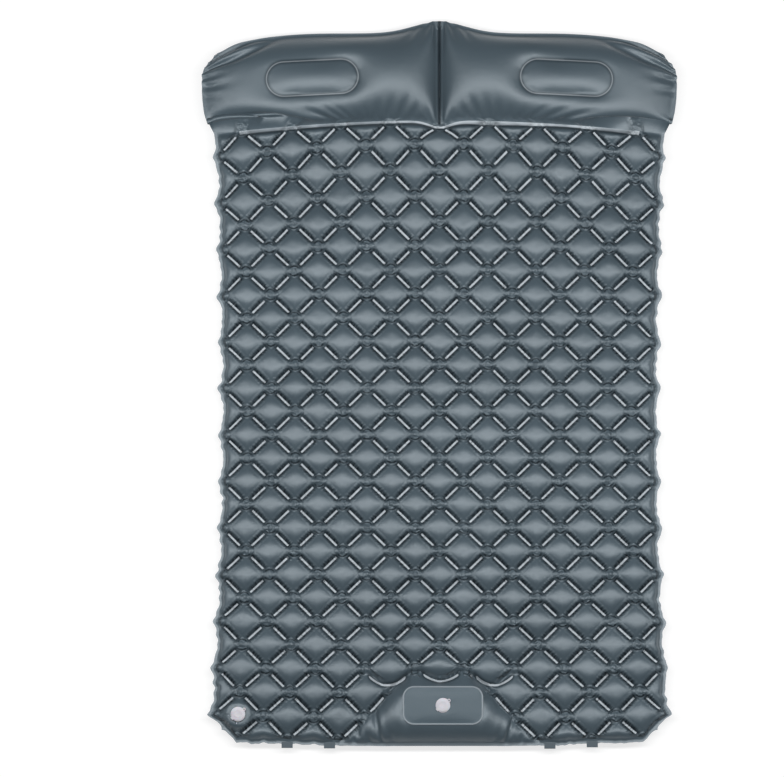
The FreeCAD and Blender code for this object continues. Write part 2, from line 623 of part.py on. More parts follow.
def main():
    pump_place = (PANEL_X, PANEL_Y, PANEL_Z)
    rim = lower_sheet().rim()
    parts = {
        "top_skin": top_skin(rim),
        "left_pillow_skin": pillow_skin(rim, -1),
        "right_pillow_skin": pillow_skin(rim, 1),
        "bottom_skin": bottom_skin(rim),
        "left_pillow_baffle": pillow_baffle(-1),
        "right_pillow_baffle": pillow_baffle(1),
        "pump_cover": pump_cover(rim),
        "pump_panel": pump_panel(),
        "pump_foam": pump_foam(),
        "check_valve_sleeve": check_sleeve(),
        "check_valve_flap": check_flap(),
    }
    for name, place in (("main", main_valve_place()), ("pump", pump_place)):
        parts[name + "_valve_base"] = valve_base(place)
        parts[name + "_valve_patch"] = valve_patch(place)
        parts[name + "_valve_plug"] = valve_plug(place)
        parts[name + "_valve_flap"] = valve_flap(place)
        parts[name + "_valve_cap"] = valve_cap(place)
    os.makedirs("parts", exist_ok=True)
    for name, shape in parts.items():
        shape.exportStep(f"parts/{name}.step")
        box = shape.BoundBox
        print(f"{name}: {len(shape.Solids)} solid(s), valid {shape.isValid()}, {shape.Volume / 1000:.2f} cm3, "
              f"x {box.XMin:.1f} to {box.XMax:.1f}, y {box.YMin:.1f} to {box.YMax:.1f}, "
              f"z {box.ZMin:.2f} to {box.ZMax:.2f}")


main()
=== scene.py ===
"""Looks of a double inflatable sleeping pad: its inflated fabric, weld lines, valves, camera and light.

The quilted field is shaped cell by cell. The pillows and the foot pump's dome are simulated: flat sheets
held at their welds are blown up until they are taut. Places on the quilted field are (u, v): u counts cells
from the left rim, v from the pillows' weld towards the foot. On the pillows b runs from 0 at that weld to 1
at the head rim. Sizes are millimetres, and shares are of a cell's side unless they say otherwise.
"""

import json
import math

import bmesh
import bpy
import numpy as np
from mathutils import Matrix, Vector

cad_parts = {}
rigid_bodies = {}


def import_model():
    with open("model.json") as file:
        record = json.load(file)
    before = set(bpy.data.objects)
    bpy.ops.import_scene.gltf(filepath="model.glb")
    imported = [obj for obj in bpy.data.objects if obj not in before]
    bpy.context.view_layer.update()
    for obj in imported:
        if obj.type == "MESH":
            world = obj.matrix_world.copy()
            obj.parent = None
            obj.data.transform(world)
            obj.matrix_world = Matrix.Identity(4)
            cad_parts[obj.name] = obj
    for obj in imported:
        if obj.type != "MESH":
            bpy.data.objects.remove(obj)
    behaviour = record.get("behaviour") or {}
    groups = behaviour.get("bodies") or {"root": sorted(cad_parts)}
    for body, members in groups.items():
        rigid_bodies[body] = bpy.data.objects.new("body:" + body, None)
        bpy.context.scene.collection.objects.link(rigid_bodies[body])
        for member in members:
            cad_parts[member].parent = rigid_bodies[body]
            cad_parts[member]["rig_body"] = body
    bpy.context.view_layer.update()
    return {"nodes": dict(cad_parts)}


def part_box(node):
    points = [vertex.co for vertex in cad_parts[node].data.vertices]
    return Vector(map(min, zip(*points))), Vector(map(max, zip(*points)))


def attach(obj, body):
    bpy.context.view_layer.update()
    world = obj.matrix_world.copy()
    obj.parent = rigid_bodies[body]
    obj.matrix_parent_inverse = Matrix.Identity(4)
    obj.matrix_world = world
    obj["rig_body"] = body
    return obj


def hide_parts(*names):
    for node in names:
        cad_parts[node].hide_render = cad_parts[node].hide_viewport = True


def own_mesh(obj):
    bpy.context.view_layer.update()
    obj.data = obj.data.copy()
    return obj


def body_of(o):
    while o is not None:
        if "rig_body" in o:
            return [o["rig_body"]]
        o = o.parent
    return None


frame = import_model()
MM = 0.001

# ---------------------------------------------------------------- the pad's plan, as the solids have it
COLUMNS, ROWS = 9, 13
MIDDLE = COLUMNS / 2
CELL_WIDTH, CELL_LENGTH = 121.0, 118.0
HEAD_FLARE, FOOT_FLARE = 3.8, 6.5
HEAD_BOW, HEAD_BOW_FADE = 34.0, 1.8
FOOT_BOW, FOOT_BOW_FADE = 14.0, 1.2
SEAM_NOTCH, SEAM_NOTCH_WIDTH = 16.0, 0.3
FIELD_WELD_HEIGHT, PILLOW_WELD_HEIGHT, RAMP_ROWS = 30.0, 44.0, 1.5
FLANGE_WIDTH = 8.0
PILLOW_OVERHANG, PEAK, PEAK_SPREAD = 34.0, 31.0, 0.16
PILLOW_CORNER, CORNER_START = 46.0, 0.45
PUMP_REACH = 2  # columns from the middle
PUMP_DIPS = {0: 1.26, 1: 1.08}  # columns from the middle: rows from the foot of nodes drawn headwards
PUMP_OUTLINE = (0, 0.5, 1, 1.5, 2), (1.26, 1.5, 1.08, 0.5, 0)  # columns from the middle, rows from the foot
# curved welds over the pump: x of the middle, y of the lowest point, half width, sag
PUMP_ARCS = (3.0, -757.0, 42.0, 15.0), (-131.0, -768.0, 44.0, 20.0), (137.0, -768.0, 44.0, 20.0)
SLEEVE_PLACE = -1.5, 0.5  # knot over the check valve's sleeve, counted as the pump's outline
SLEEVE_REACH, SLEEVE_FADE = 24.0, 8.0

HEAD_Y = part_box("left_pillow_skin")[1][1] / MM
FOOT_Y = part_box("pump_cover")[0][1] / MM
SEAM_Y = FOOT_Y + FLANGE_WIDTH + FOOT_BOW + ROWS * CELL_LENGTH
PANEL_LOW, PANEL_HIGH = [np.array(corner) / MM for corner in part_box("pump_panel")]
PANEL_X, PANEL_Y = (PANEL_LOW[:2] + PANEL_HIGH[:2]) / 2
PANEL_LENGTH, PANEL_WIDTH = PANEL_HIGH[:2] - PANEL_LOW[:2]
PANEL_CORNER = 28.0
VALVE_LOW, VALVE_HIGH = [np.array(corner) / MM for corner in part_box("main_valve_base")]
VALVE_X, VALVE_Y = (VALVE_LOW[:2] + VALVE_HIGH[:2]) / 2
NECK_HEIGHT, NECK_HOLE, VALVE_FLANGE = 4.0, 16.9, 27.0
VALVE_SEAT = VALVE_HIGH[2] - NECK_HEIGHT
SEAT_CLIMB, SEAT_LIFT = 14.0, 0.2  # slope of the sheet round the valve, its play over the flange
TIE_LENGTH, TIE_WIDTH, TIE_TILT = 232.0, 88.0, 3.0
TIE_FROM_MIDDLE = 317.0
TIE_BOTTOM, TIE_TOP = 2.0, 87.0  # the top holds the pillow's upper sheet down

# ---------------------------------------------------------------- the quilted field's shape
CELL_RISE = 24.0  # middle of a blown-up cell over its weld
RIDGE_SQUARENESS, RIDGE_FULLNESS = 2.3, 0.8
BAR_WIDTH = 7.4  # welded bar along the middle of each cell's side
BAR_START, BAR_END = 0.24, 0.76
BAR_CLEAR, BAR_FADE = 0.30, 0.08  # where the bar stops pinching the cell, and how gradually
SIDE_OVERLAP = 0.03  # how far a cell reaches over its side beyond the bar
NARROWEST = 0.02  # half a cell's width at its side corners
KNOT_RADIUS, KNOT_RISE = 13.0, 15.0  # small bump between the ends of four bars
KNOT_FOOT, KNOT_CLIMB = 0.85, 34.0  # the cell starts at this share of the radius and climbs over this far
RIM_CLIMB, HEAD_CLIMB, PUMP_CLIMB = 45.0, 30.0, 16.0  # cells' slopes at the rim, the pillows and the pump
HEIGHT_SPREAD = 0.05  # share by which the cells' heights differ
UNEVENNESS, UNEVEN_FROM = 0.15, 8.0  # on each cell, in full above this rise
RIM_SCALLOP, SCALLOP_DEPTH = 7.0, 0.4  # how far the side rim is drawn in between the cells' corners
RIM_EAR, EAR_LENGTH, EAR_DEPTH = 6.0, 0.09, 0.25  # how far it stands out at them
RIM_CRINKLE, CRINKLE_DEPTH = 1.3, 0.2  # unevenness of the rim
SIDES_APART = 40.0  # gives the two sides crinkles of their own
RIM_START = 0.4  # rows over which the pillows' smooth rim gives way to it
CORNER_CUT = 0.5  # cells cut off each foot corner
CORNER_SHARPNESS = 6  # that corner's bend, higher is sharper
HEAD_CORNER = 90.0  # radius of the round head corners
SEED = 11
RIM_WAVES = (14, 60), 14  # shortest and longest wave, and their count
HEIGHT_WAVES = (150, 300), 9
CELL_WAVES = (22, 60), 24
SEAM_WAVES = (200, 500), 7

# ---------------------------------------------------------------- the simulated sheets
FLAT_CELL_WIDTH, FLAT_CELL_LENGTH = 137.0, 134.5
FLAT_PILLOW = 254.0
PILLOW_WELD_CELL = 126.0  # width of the pillows' cloth along their weld, in the same cells
PILLOW_CELL_WIDTH, WIDENING = 129.0, 0.4  # and past this share of their length
SEAM_SLACK, SLACK_REACH, SLACK_START = 0.25, 0.3, 0.25  # extra cloth where the two pillows press together
CLEFT_HOLD = 3.0  # half width of the strip held between the pillows
TIE_HOLD = 4.5  # half width of the strip that a tie holds down
WELD_SAG = 2.0  # how far the sheet may sink under the weld
INFLATION_STAGES = (6, 160, 0.10), (12, 220, 0.05), (24, 260, 0.022)  # steps per cell, rounds, pressure
PILLOW_PRESSURE, PUMP_PRESSURE = 0.5, 2.5  # shares of a stage's pressure
START_NOISE = 0.3

# ---------------------------------------------------------------- the pieces
UPPER_LIFT, LOWER_DROP = 0.3, 0.6  # at the rim, between the two sheets
SHEET_GAP = 0.8  # between the two sheets at a weld
PILLOW_DEPTH, FIELD_DEPTH = 0.76, 1.1  # the lower sheet's bulge over the upper one's
FLOOR_GAP = 0.6
PANEL_DROP, PANEL_CROWN = 0.4, 3.4  # the foot panel's edge under the solid's, its middle over its edge
PANEL_LIFT, NECK_DIP = 0.2, 0.5  # the panel over the dome, and its dip round the neck
PANEL_OVERLAP = 10.0  # how far the dome's sheet goes under the panel
BEAD = (0, 0.1), (0.1, 0.9), (0.8, 1.5), (1.7, 1.7), (2.6, 1.5), (3.2, 0.9), (4.4, 0.7)  # inset, height
CROWN_RINGS = 16
TIE_LEVELS, TIE_WAIST, TIE_PLAY = 9, 0.05, 1.5
VENT_LEVELS, VENT_SPACING = (3, 4), 4
FILM_THICKNESS = 0.4
TAB_PLACES = 1.5, 2.35, 6.65, 7.5  # columns of the small tabs at the foot rim
TAB_SIZE = 28.0, 9.0, 2.0  # wide, standing out, thick
TAB_ROOT, TAB_LIFT = 6.0, 0.4  # how far a tab reaches in, and up from the rim
TAB_SECTIONS = (-0.5, 0.85), (-0.46, 1), (0.46, 1), (0.5, 0.85)  # share of the width, of the thickness
EDGE_ROUNDING, SMOOTH_ANGLE = 0.3, 40.0

# ---------------------------------------------------------------- looks
FABRIC_COLOUR = (0.069, 0.098, 0.119, 1)
FABRIC_DARK = (0.060, 0.086, 0.105, 1)
FABRIC_SHINE = (0.84, 0.94, 1, 1)
# painted shade: the near-black colour the cloth is blended to where shade falls
PAINTED_SHADE_COLOUR = (0.012, 0.019, 0.025, 1)
WELD_COLOUR = (0.52, 0.57, 0.61, 1)
FABRIC_ROUGHNESS, WELD_SMOOTHNESS = 0.40, 0.12
COAT, COAT_ROUGHNESS = 0.35, 0.42
# specular level, and how much of it the painted shade takes away
GLOSS, SHADED_GLOSS_LOSS = 0.9, 0.7
SHEEN, SHEEN_ROUGHNESS = 0.12, 0.4
WEAVE_PITCH = 1.1  # of the fabric's threads
WEAVE_BUMP = 0.00008, 0.5  # height in metres, strength
COATING_BUMP = 0.0007, 0.35
GATHER_BUMP = 0.009, 1.0
SEAM_WIDTH = 9.0  # flat strip along the pillows' weld
SEAM_WAVE = 3.0  # its unevenness
SEAM_PATCHES = 0.55, 0.4  # share that comes and goes along it, share that stays
SEAM_END = 0.45  # columns at each end without it
BAR_TRIM, BAR_SOFTNESS = 1.2, 0.5  # the drawn bar's narrowing on each side
END_TRIM, END_SOFTNESS = 0.01, 0.012  # the same at its ends, as shares
PUCKER_LENGTH, PUCKER_STRETCH = 5.0, 3.0  # of the small wrinkles across a bar
GROOVE_REACH = 13.0  # painted shade and gathers beside each bar
GROOVE_END, GROOVE_END_SOFTNESS = 0.06, 0.08
# factor and offset by which the wrinkles' noise makes the painted shade beside each bar uneven
GROOVE_CONTRAST = 1.9, -0.2
KNOT_ARC = 1.6, 1.6  # half width and softness of the arcs of painted shade round a knot
KNOT_ARC_SHADE = 0.8, 0.15  # painted shade added above and below the knot, and everywhere
KNOT_CRUMPLE = 9.0  # unevenness of the arcs round a knot
PUMP_BARS = 0.13  # rows inside the pump's outline that still show its bars
BARE_RIM, BARE_ARC = 8.0, 16.0  # no bars are drawn this near the rim and the curved welds
FAR = 40.0  # a distance past the reach of every line below
# painted shade along the cleft between the pillows, round the ties, beside the seam strip and beside the
# curved welds
SHADE_LINES = (  # distance read, line's place, half width, softness, strength
    ("cleft", 0.0, 4.0, 3.0, 1.0), ("tie", 0.0, 5.0, 5.0, 0.7),
    ("seam", 13.0, 5.0, 5.0, 0.7), ("arc", 0.0, 7.0, 5.0, 0.8))
RIM_PALENESS, BEAD_PALENESS = 0.15, 0.45
WELD_LINES = ("arc", 0.0, 2.9, 0.6, 0.85), ("tie", 0.0, 1.6, 0.8, 0.35)

# ---------------------------------------------------------------- camera, lamp and floor
VIEW_WIDTH = 1975.68  # shown across the picture
SENSOR_WIDTH = 36.0
CAMERA_ELEVATION = 82.0
CAMERA_DISTANCE = 30.0  # metres, as all the rest here
LOOK_AT = (-0.1197, -0.0144, 0.03)
LAMP_PLACE, LAMP_SIZE, LAMP_POWER = (0, 0.1, 3.0), (8.0, 0.7), 170
FLOOR_HALF = 12.0
FLOOR_PALE, FLOOR_SHOWN, FLOOR_GLOW = 0.8, 0.3, 0.75
SKY_COLOUR, SKY_STRENGTH = (0.93, 0.97, 1, 1), 0.07


def smooth(t):
    """A smooth step from 0 to 1 as t goes from 0 to 1."""
    t = np.clip(t, 0, 1)
    return t * t * (3 - 2 * t)


def quarter_round(t):
    """Climbs from 0 to 1 as a quarter of a circle does."""
    return np.sqrt(1 - (1 - t) ** 2)


def weld_height(v):
    """Height of the welds, level on the field and climbing towards the pillows."""
    climb = smooth((RAMP_ROWS - v) / RAMP_ROWS)
    return FIELD_WELD_HEIGHT + (PILLOW_WELD_HEIGHT - FIELD_WELD_HEIGHT) * climb


def lattice(u, v):
    """Plan position of a place on the quilted field."""
    along = 2 * v / ROWS - 1
    width = CELL_WIDTH + np.where(along < 0, HEAD_FLARE, FOOT_FLARE) * along ** 2
    side = (u - MIDDLE) / MIDDLE
    bow = HEAD_BOW * np.exp(-np.maximum(v - 0.5, 0) / HEAD_BOW_FADE)
    bow = bow - FOOT_BOW * np.exp(-(ROWS - v) / FOOT_BOW_FADE)
    notch = SEAM_NOTCH * np.exp(-((u - MIDDLE) / SEAM_NOTCH_WIDTH) ** 2) * np.clip(1 - 2 * v, 0, 1)
    return (u - MIDDLE) * width, SEAM_Y - v * CELL_LENGTH + bow * (1 - side ** 2) - notch


def pillow(u, b):
    """Plan position of a place on the pillows."""
    x, y = lattice(u, np.zeros_like(u))
    side = np.abs(u - MIDDLE) / MIDDLE
    head = HEAD_Y - FLANGE_WIDTH - PEAK * (1 - np.exp(-(side / PEAK_SPREAD) ** 2))
    corner = np.maximum(0, side - CORNER_START) / (1 - CORNER_START)
    overhang = PILLOW_OVERHANG * side ** (2 + 28 * (1 - b) ** 4) * np.sin(math.pi * (0.15 + 0.55 * b))
    x = x + np.sign(x) * (overhang - 0.5 * PILLOW_CORNER * corner ** 8 * b ** 6)
    return x, y + (head - y) * b - PILLOW_CORNER * corner ** 2.5 * b ** 3


def rounded_distance(x, y, length, width, corner):
    """Signed distance to a rounded rectangle round the origin, negative inside."""
    over_x = np.abs(x) - (length / 2 - corner)
    over_y = np.abs(y) - (width / 2 - corner)
    outside = np.hypot(np.maximum(over_x, 0), np.maximum(over_y, 0))
    return outside + np.minimum(np.maximum(over_x, over_y), 0) - corner


def tie_middle():
    """Plan place of the right pillow's tie. The left one mirrors it."""
    return pillow(np.float64(MIDDLE + TIE_FROM_MIDDLE / (CELL_WIDTH + HEAD_FLARE)), np.float64(0.5))


def tie_distance(x, y):
    """Signed distance in plan to the nearer pillow's tie."""
    side = np.sign(x)
    centre_x, centre_y = tie_middle()
    turn = np.radians(TIE_TILT) * side
    across, along = x - side * centre_x, y - centre_y
    local_x = across * np.cos(turn) - along * np.sin(turn)
    local_y = across * np.sin(turn) + along * np.cos(turn)
    return rounded_distance(local_x, local_y, TIE_LENGTH, TIE_WIDTH, TIE_WIDTH / 2)


def drawn_rows(u, v):
    """The row a place would have if the nodes over the pump weren't drawn towards the head."""
    pull = np.zeros_like(u)
    for column, from_foot in PUMP_DIPS.items():
        across = np.maximum(1 - np.abs(np.abs(u - MIDDLE) - column) / 0.5, 0)
        along = np.maximum(1 - np.abs(v - ROWS + from_foot) / 0.5, 0)
        pull = np.maximum(pull, across * along * (from_foot - 1))
    return v + pull


def rim_distance(u, v, b):
    """Millimetres in the flat sheet from a place to the pad's rim."""
    to_side = np.minimum(u, COLUMNS - u)
    to_end = np.where(b > 0, (1 - b) * FLAT_PILLOW, (ROWS - v) * FLAT_CELL_LENGTH)
    to_corner = (to_side + ROWS - v - CORNER_CUT) * FLAT_CELL_WIDTH / math.sqrt(2)
    return np.minimum(np.minimum(to_side * FLAT_CELL_WIDTH, to_end), to_corner)


def cell_rise(u, rows):
    """How far a cell's dome and the knots at its corners stand over the weld."""
    across = u + rows - np.round(u + rows)
    back = u - rows - np.round(u - rows)
    along_u, along_v = np.abs(across + back) / 2, np.abs(across - back) / 2
    on_side = np.maximum(np.abs(across), np.abs(back)) > 0.5 - 1e-9
    on_bar = smooth((BAR_CLEAR - np.minimum(np.abs(across), np.abs(back))) / BAR_FADE)
    pinch = SIDE_OVERLAP + BAR_WIDTH / CELL_LENGTH / math.sqrt(2)
    reach = 0.5 - along_u + SIDE_OVERLAP - pinch * on_bar
    ridge = CELL_RISE * np.maximum(1 - (2 * along_u) ** RIDGE_SQUARENESS, 0) ** RIDGE_FULLNESS
    section = np.sqrt(np.maximum(1 - (along_v / np.maximum(reach, NARROWEST)) ** 2, 0))
    to_head_or_foot = np.hypot(along_u * CELL_WIDTH, (0.5 - along_v) * CELL_LENGTH)
    to_side = np.hypot((0.5 - along_u) * CELL_WIDTH, along_v * CELL_LENGTH)
    clear = np.clip((to_head_or_foot - KNOT_FOOT * KNOT_RADIUS) / KNOT_CLIMB, 0, 1)
    dome = np.where(on_side & (on_bar > 0.5), 0, ridge * section * quarter_round(clear))
    to_knot = np.minimum(to_head_or_foot, to_side)
    return np.maximum(dome, KNOT_RISE * np.sqrt(np.maximum(1 - (to_knot / KNOT_RADIUS) ** 2, 0)))


def field_rise(u, v):
    """How far the upper sheet stands over the weld, less towards the rim, the pillows and the pump."""
    pump = np.clip((ROWS - v - pump_top(u)) * CELL_LENGTH / PUMP_CLIMB, 0, 1)
    pump = np.maximum(pump, smooth((SLEEVE_REACH - sleeve_distance(u, v)) / SLEEVE_FADE))
    head = (v * FLAT_CELL_LENGTH - SEAM_WIDTH) / HEAD_CLIMB
    rise = cell_rise(u, drawn_rows(u, v))
    for share in (rim_distance(u, v, 0) / RIM_CLIMB, head, pump):
        rise = rise * quarter_round(np.clip(share, 0, 1))
    return rise


def waves(x, y, lengths, count, seed):
    """Smooth seeded unevenness, about 1 high, with wavelengths in this range."""
    draw = np.random.default_rng(seed)
    out = np.zeros_like(x)
    for turn, phase, share in zip(*draw.uniform(0, 2 * math.pi, (2, count)), draw.random(count)):
        length = lengths[0] + (lengths[1] - lengths[0]) * share
        out = out + np.sin(2 * math.pi * (x * math.cos(turn) + y * math.sin(turn)) / length + phase)
    return out * math.sqrt(2 / count)


def uneven_rim(u, v, x, y):
    """A plan place with the side rim drawn in between the cells' corners, and the rim crinkled."""
    from_side = np.minimum(u, COLUMNS - u)
    scallop = RIM_SCALLOP * np.cos(math.pi * v) ** 2 * np.clip(1 - from_side / SCALLOP_DEPTH, 0, 1) ** 2
    to_corner = v - np.floor(v) - 0.5
    ear = RIM_EAR * np.exp(-(to_corner / EAR_LENGTH) ** 2) * np.clip(1 - from_side / EAR_DEPTH, 0, 1)
    crinkle = waves(v * CELL_LENGTH, np.sign(x) * SIDES_APART, *RIM_WAVES, SEED)
    crinkle = RIM_CRINKLE * crinkle * np.clip(1 - from_side / CRINKLE_DEPTH, 0, 1)
    x = x - np.sign(x) * (scallop - ear + crinkle) * smooth(v / RIM_START)
    beside_pump = smooth(np.abs(u - MIDDLE) - PUMP_REACH + 0.5)
    to_foot = np.clip(1 - (ROWS - v) / CRINKLE_DEPTH, 0, 1) * beside_pump
    return x, y + RIM_CRINKLE * waves(x, x * 0, *RIM_WAVES, SEED + 1) * to_foot


def pump_top(u):
    """Rows from the foot rim to the pump's outline."""
    return np.interp(np.abs(u - MIDDLE), PUMP_OUTLINE[0], PUMP_OUTLINE[1])


def sleeve_distance(u, v):
    """Distance to the knot that the check valve's sleeve passes under."""
    across = (u - MIDDLE - SLEEVE_PLACE[0]) * CELL_WIDTH
    return np.hypot(across, (ROWS - v - SLEEVE_PLACE[1]) * CELL_LENGTH)


def on_pump_weld(u, v):
    """Whether a place lies on the weld that closes the pump off from the bed."""
    out = np.zeros(u.shape, bool)
    place = np.stack([np.abs(u - MIDDLE) * CELL_WIDTH, (ROWS - v) * CELL_LENGTH])
    nodes = np.array(PUMP_OUTLINE).T * (CELL_WIDTH, CELL_LENGTH)
    for start, end in zip(nodes, nodes[1:]):
        length = np.hypot(*(end - start))
        run = (end - start) / length
        offset = place - ((start + end) / 2)[:, None, None]
        along = offset[0] * run[0] + offset[1] * run[1]
        across = offset[0] * run[1] - offset[1] * run[0]
        out |= (np.abs(along) < length / 2 + BAR_WIDTH / 2) & (np.abs(across) < BAR_WIDTH / 2 + 0.5)
    return out & (sleeve_distance(u, v) > SLEEVE_REACH)


def bend_corners(u, w, end, size_u, size_w, norm):
    """Draws the grid's two square corners at one end in to ones along which this norm is constant."""
    for side in (0, 1):
        from_side = COLUMNS - u if side else u
        across = np.maximum(1 - from_side / size_u, 0)
        along = np.maximum(1 - (end - w) / size_w, 0)
        longest = (across ** CORNER_SHARPNESS + along ** CORNER_SHARPNESS) ** (1 / CORNER_SHARPNESS)
        share = longest / np.maximum(norm(across, along), 1e-9)
        share = np.where((across > 0) & (along > 0), share, 1)
        new_side = np.where(across > 0, (1 - across * share) * size_u, from_side)
        u = COLUMNS - new_side if side else new_side
        w = np.where(along > 0, end - (1 - along * share) * size_w, w)
    return u, w


class Cloth:
    """The upper sheet as a grid of points: rows run from head rim to foot rim, columns to the right."""

    LINKS = ((0, 1, 1.0, 0.35), (1, 0, 1.0, 0.35), (1, 1, 0.6, 0.2), (1, -1, 0.6, 0.2),
             (0, 2, 0.0, 0.25), (2, 0, 0.0, 0.25))      # rows on, columns on, pull share, push share
    RIM_STEPS = 2
    DRAG, RIM_HOLD = 0.95, 0.15

    def __init__(self, steps, coarse=None):
        self.steps = steps
        self.lay_grid()
        self.flat = self.flat_places()
        self.place_plan()
        self.weld()
        self.points = self.plan.copy()
        if coarse is not None:
            self.points = self.refine(coarse)
        self.points[:, self.fixed] = self.plan[:, self.fixed]
        self.free = np.where(self.fixed, 0, 1).astype(np.float32)
        self.speed = np.zeros_like(self.points)
        self.sets = [link_set for link in self.LINKS for link_set in self.link_sets(*link)]

    def lay_grid(self):
        """Lays the grid's rows and columns in the lattice and marks the flange at the rim."""
        pillow_steps = round(FLAT_PILLOW / FLAT_CELL_WIDTH * self.steps)
        flange = np.arange(self.RIM_STEPS, 0, -1) * FLANGE_WIDTH / self.RIM_STEPS
        columns = np.arange(COLUMNS * self.steps + 1) / self.steps
        self.columns = np.concatenate([-flange / FLAT_CELL_WIDTH, columns,
                                       COLUMNS + flange[::-1] / FLAT_CELL_WIDTH])
        self.rows = np.concatenate([-1 - flange / FLAT_PILLOW, np.arange(-pillow_steps, 0) / pillow_steps,
                                    np.arange(ROWS * self.steps + 1) / self.steps,
                                    ROWS + flange[::-1] / FLAT_CELL_LENGTH])
        u, v = np.meshgrid(self.columns, np.maximum(self.rows, 0))
        b = np.repeat(np.maximum(-self.rows, 0)[:, None], len(self.columns), 1)
        corner_u, corner_b = HEAD_CORNER / FLAT_CELL_WIDTH, HEAD_CORNER / FLAT_PILLOW
        u, self.b = bend_corners(u, b, 1, corner_u, corner_b, np.hypot)
        self.u, self.v = bend_corners(u, v, ROWS, CORNER_CUT, CORNER_CUT, np.add)
        self.edge = np.zeros(u.shape, bool)
        rim = self.RIM_STEPS + 1
        for band in (np.s_[:rim], np.s_[-rim:], np.s_[:, :rim], np.s_[:, -rim:]):
            self.edge[band] = True

    def flat_places(self):
        """Places in the flat sheet, with slack where the two pillows press together."""
        from_middle = self.u - MIDDLE
        slack = SEAM_SLACK * np.tanh(from_middle / SLACK_REACH) * SLACK_REACH
        slack = slack * smooth(self.b / SLACK_START) * FLAT_CELL_WIDTH
        width = PILLOW_WELD_CELL + (PILLOW_CELL_WIDTH - PILLOW_WELD_CELL) * smooth(self.b / WIDENING)
        width = np.where(self.b > 0, width, FLAT_CELL_WIDTH)
        return np.stack([from_middle * width + slack, self.v * FLAT_CELL_LENGTH - self.b * FLAT_PILLOW])

    def place_plan(self):
        """Places on the field's shape, and where the rest would lie if it shrank evenly to its plan."""
        x, y = uneven_rim(self.u, self.v, *lattice(self.u, self.v))
        pillow_x, pillow_y = pillow(self.u, self.b)
        x, y = np.where(self.b > 0, pillow_x, x), np.where(self.b > 0, pillow_y, y)
        self.plan_weld = weld_height(self.v)
        rise = field_rise(self.u, self.v)
        rise = rise * (1 + HEIGHT_SPREAD * waves(x, y, *HEIGHT_WAVES, SEED + 2))
        rise = rise + UNEVENNESS * waves(x, y, *CELL_WAVES, SEED + 3) * np.clip(rise / UNEVEN_FROM, 0, 1)
        height = self.plan_weld + np.where((self.b == 0) & ~self.edge, rise, 0)
        from_valve = np.hypot(x - VALVE_X, y - VALVE_Y)
        seat = smooth((VALVE_FLANGE + SEAT_CLIMB - from_valve) / SEAT_CLIMB)
        height = height + (VALVE_SEAT + SEAT_LIFT - height) * seat
        self.plan = np.stack([x, y, height]).astype(np.float32)

    def weld(self):
        """Fixes the quilted field, the pump's outline, the strip between the pillows and the foot panel."""
        over_pump = pump_share(self) > 0
        self.plan[2][over_pump] = self.plan_weld[over_pump]
        self.fixed = (self.b == 0) & (~over_pump | on_pump_weld(self.u, self.v))
        in_cleft = np.abs(self.u - MIDDLE) * FLAT_CELL_WIDTH < CLEFT_HOLD
        self.fixed |= in_cleft & (self.b > 0) & ~self.edge
        self.hold_panel()

    def hold_panel(self):
        """Holds the sheet flat under the foot panel, at the cloth's own size."""
        gap = np.hypot(self.plan[0] - PANEL_X, self.plan[1] - PANEL_Y)
        row, column = np.unravel_index(np.argmin(gap), gap.shape)
        offset = self.flat - self.flat[:, row, column][:, None, None]
        x = offset[0] + self.plan[0, row, column] - PANEL_X
        y = -offset[1] + self.plan[1, row, column] - PANEL_Y
        under = (rounded_distance(x, y, PANEL_LENGTH, PANEL_WIDTH, PANEL_CORNER) < 0) & (self.b == 0)
        self.plan[0][under] = PANEL_X + x[under]
        self.plan[1][under] = PANEL_Y + y[under]
        self.plan[2][under] = PANEL_LOW[2] - PANEL_DROP
        self.fixed |= under

    def refine(self, coarse):
        """The coarser cloth's points, read between its rows and columns."""
        out = []
        for values in coarse.points:
            across = np.stack([np.interp(self.columns, coarse.columns, row) for row in values])
            down = np.stack([np.interp(self.rows, coarse.rows, column) for column in across.T], 1)
            out.append(down)
        return np.stack(out).astype(np.float32)

    def link_sets(self, down, right, pull, push):
        """Links of one kind, in sets that share no point, with their flat lengths."""
        sets = []
        height, width = self.u.shape
        step = down if down else right
        size = height if down else width
        for offset in range(2 * step):
            first = slice(offset, size - step, 2 * step)
            second = slice(offset + step, size, 2 * step)
            if down:
                from_columns = slice(max(-right, 0), width - max(right, 0))
                to_columns = slice(max(right, 0), width - max(-right, 0))
                start, end = (first, from_columns), (second, to_columns)
            else:
                start, end = (slice(None), first), (slice(None), second)
            length = np.hypot(*(self.flat[(slice(None), *start)] - self.flat[(slice(None), *end)]))
            free = self.free[start] + self.free[end]
            sets.append((start, end, length.astype(np.float32), np.maximum(free, 1e-6), pull, push))
        return sets

    def hold_lengths(self):
        """Moves the ends of each link towards its flat length, more when it is too long than too short."""
        for start, end, length, free, pull, push in self.sets:
            first, second = self.points[(slice(None), *start)], self.points[(slice(None), *end)]
            gap = first - second
            now = np.sqrt((gap * gap).sum(0)) + 1e-6
            excess = now - length
            move = np.where(excess > 0, pull, push) * excess / now / free
            first -= gap * (move * self.free[start])
            second += gap * (move * self.free[end])

    def normals(self):
        """Upward area vectors at the points."""
        across, down = np.zeros_like(self.points), np.zeros_like(self.points)
        across[:, :, 1:-1] = self.points[:, :, 2:] - self.points[:, :, :-2]
        down[:, 1:-1] = self.points[:, :-2] - self.points[:, 2:]
        return np.cross(across, down, axis=0) / 4

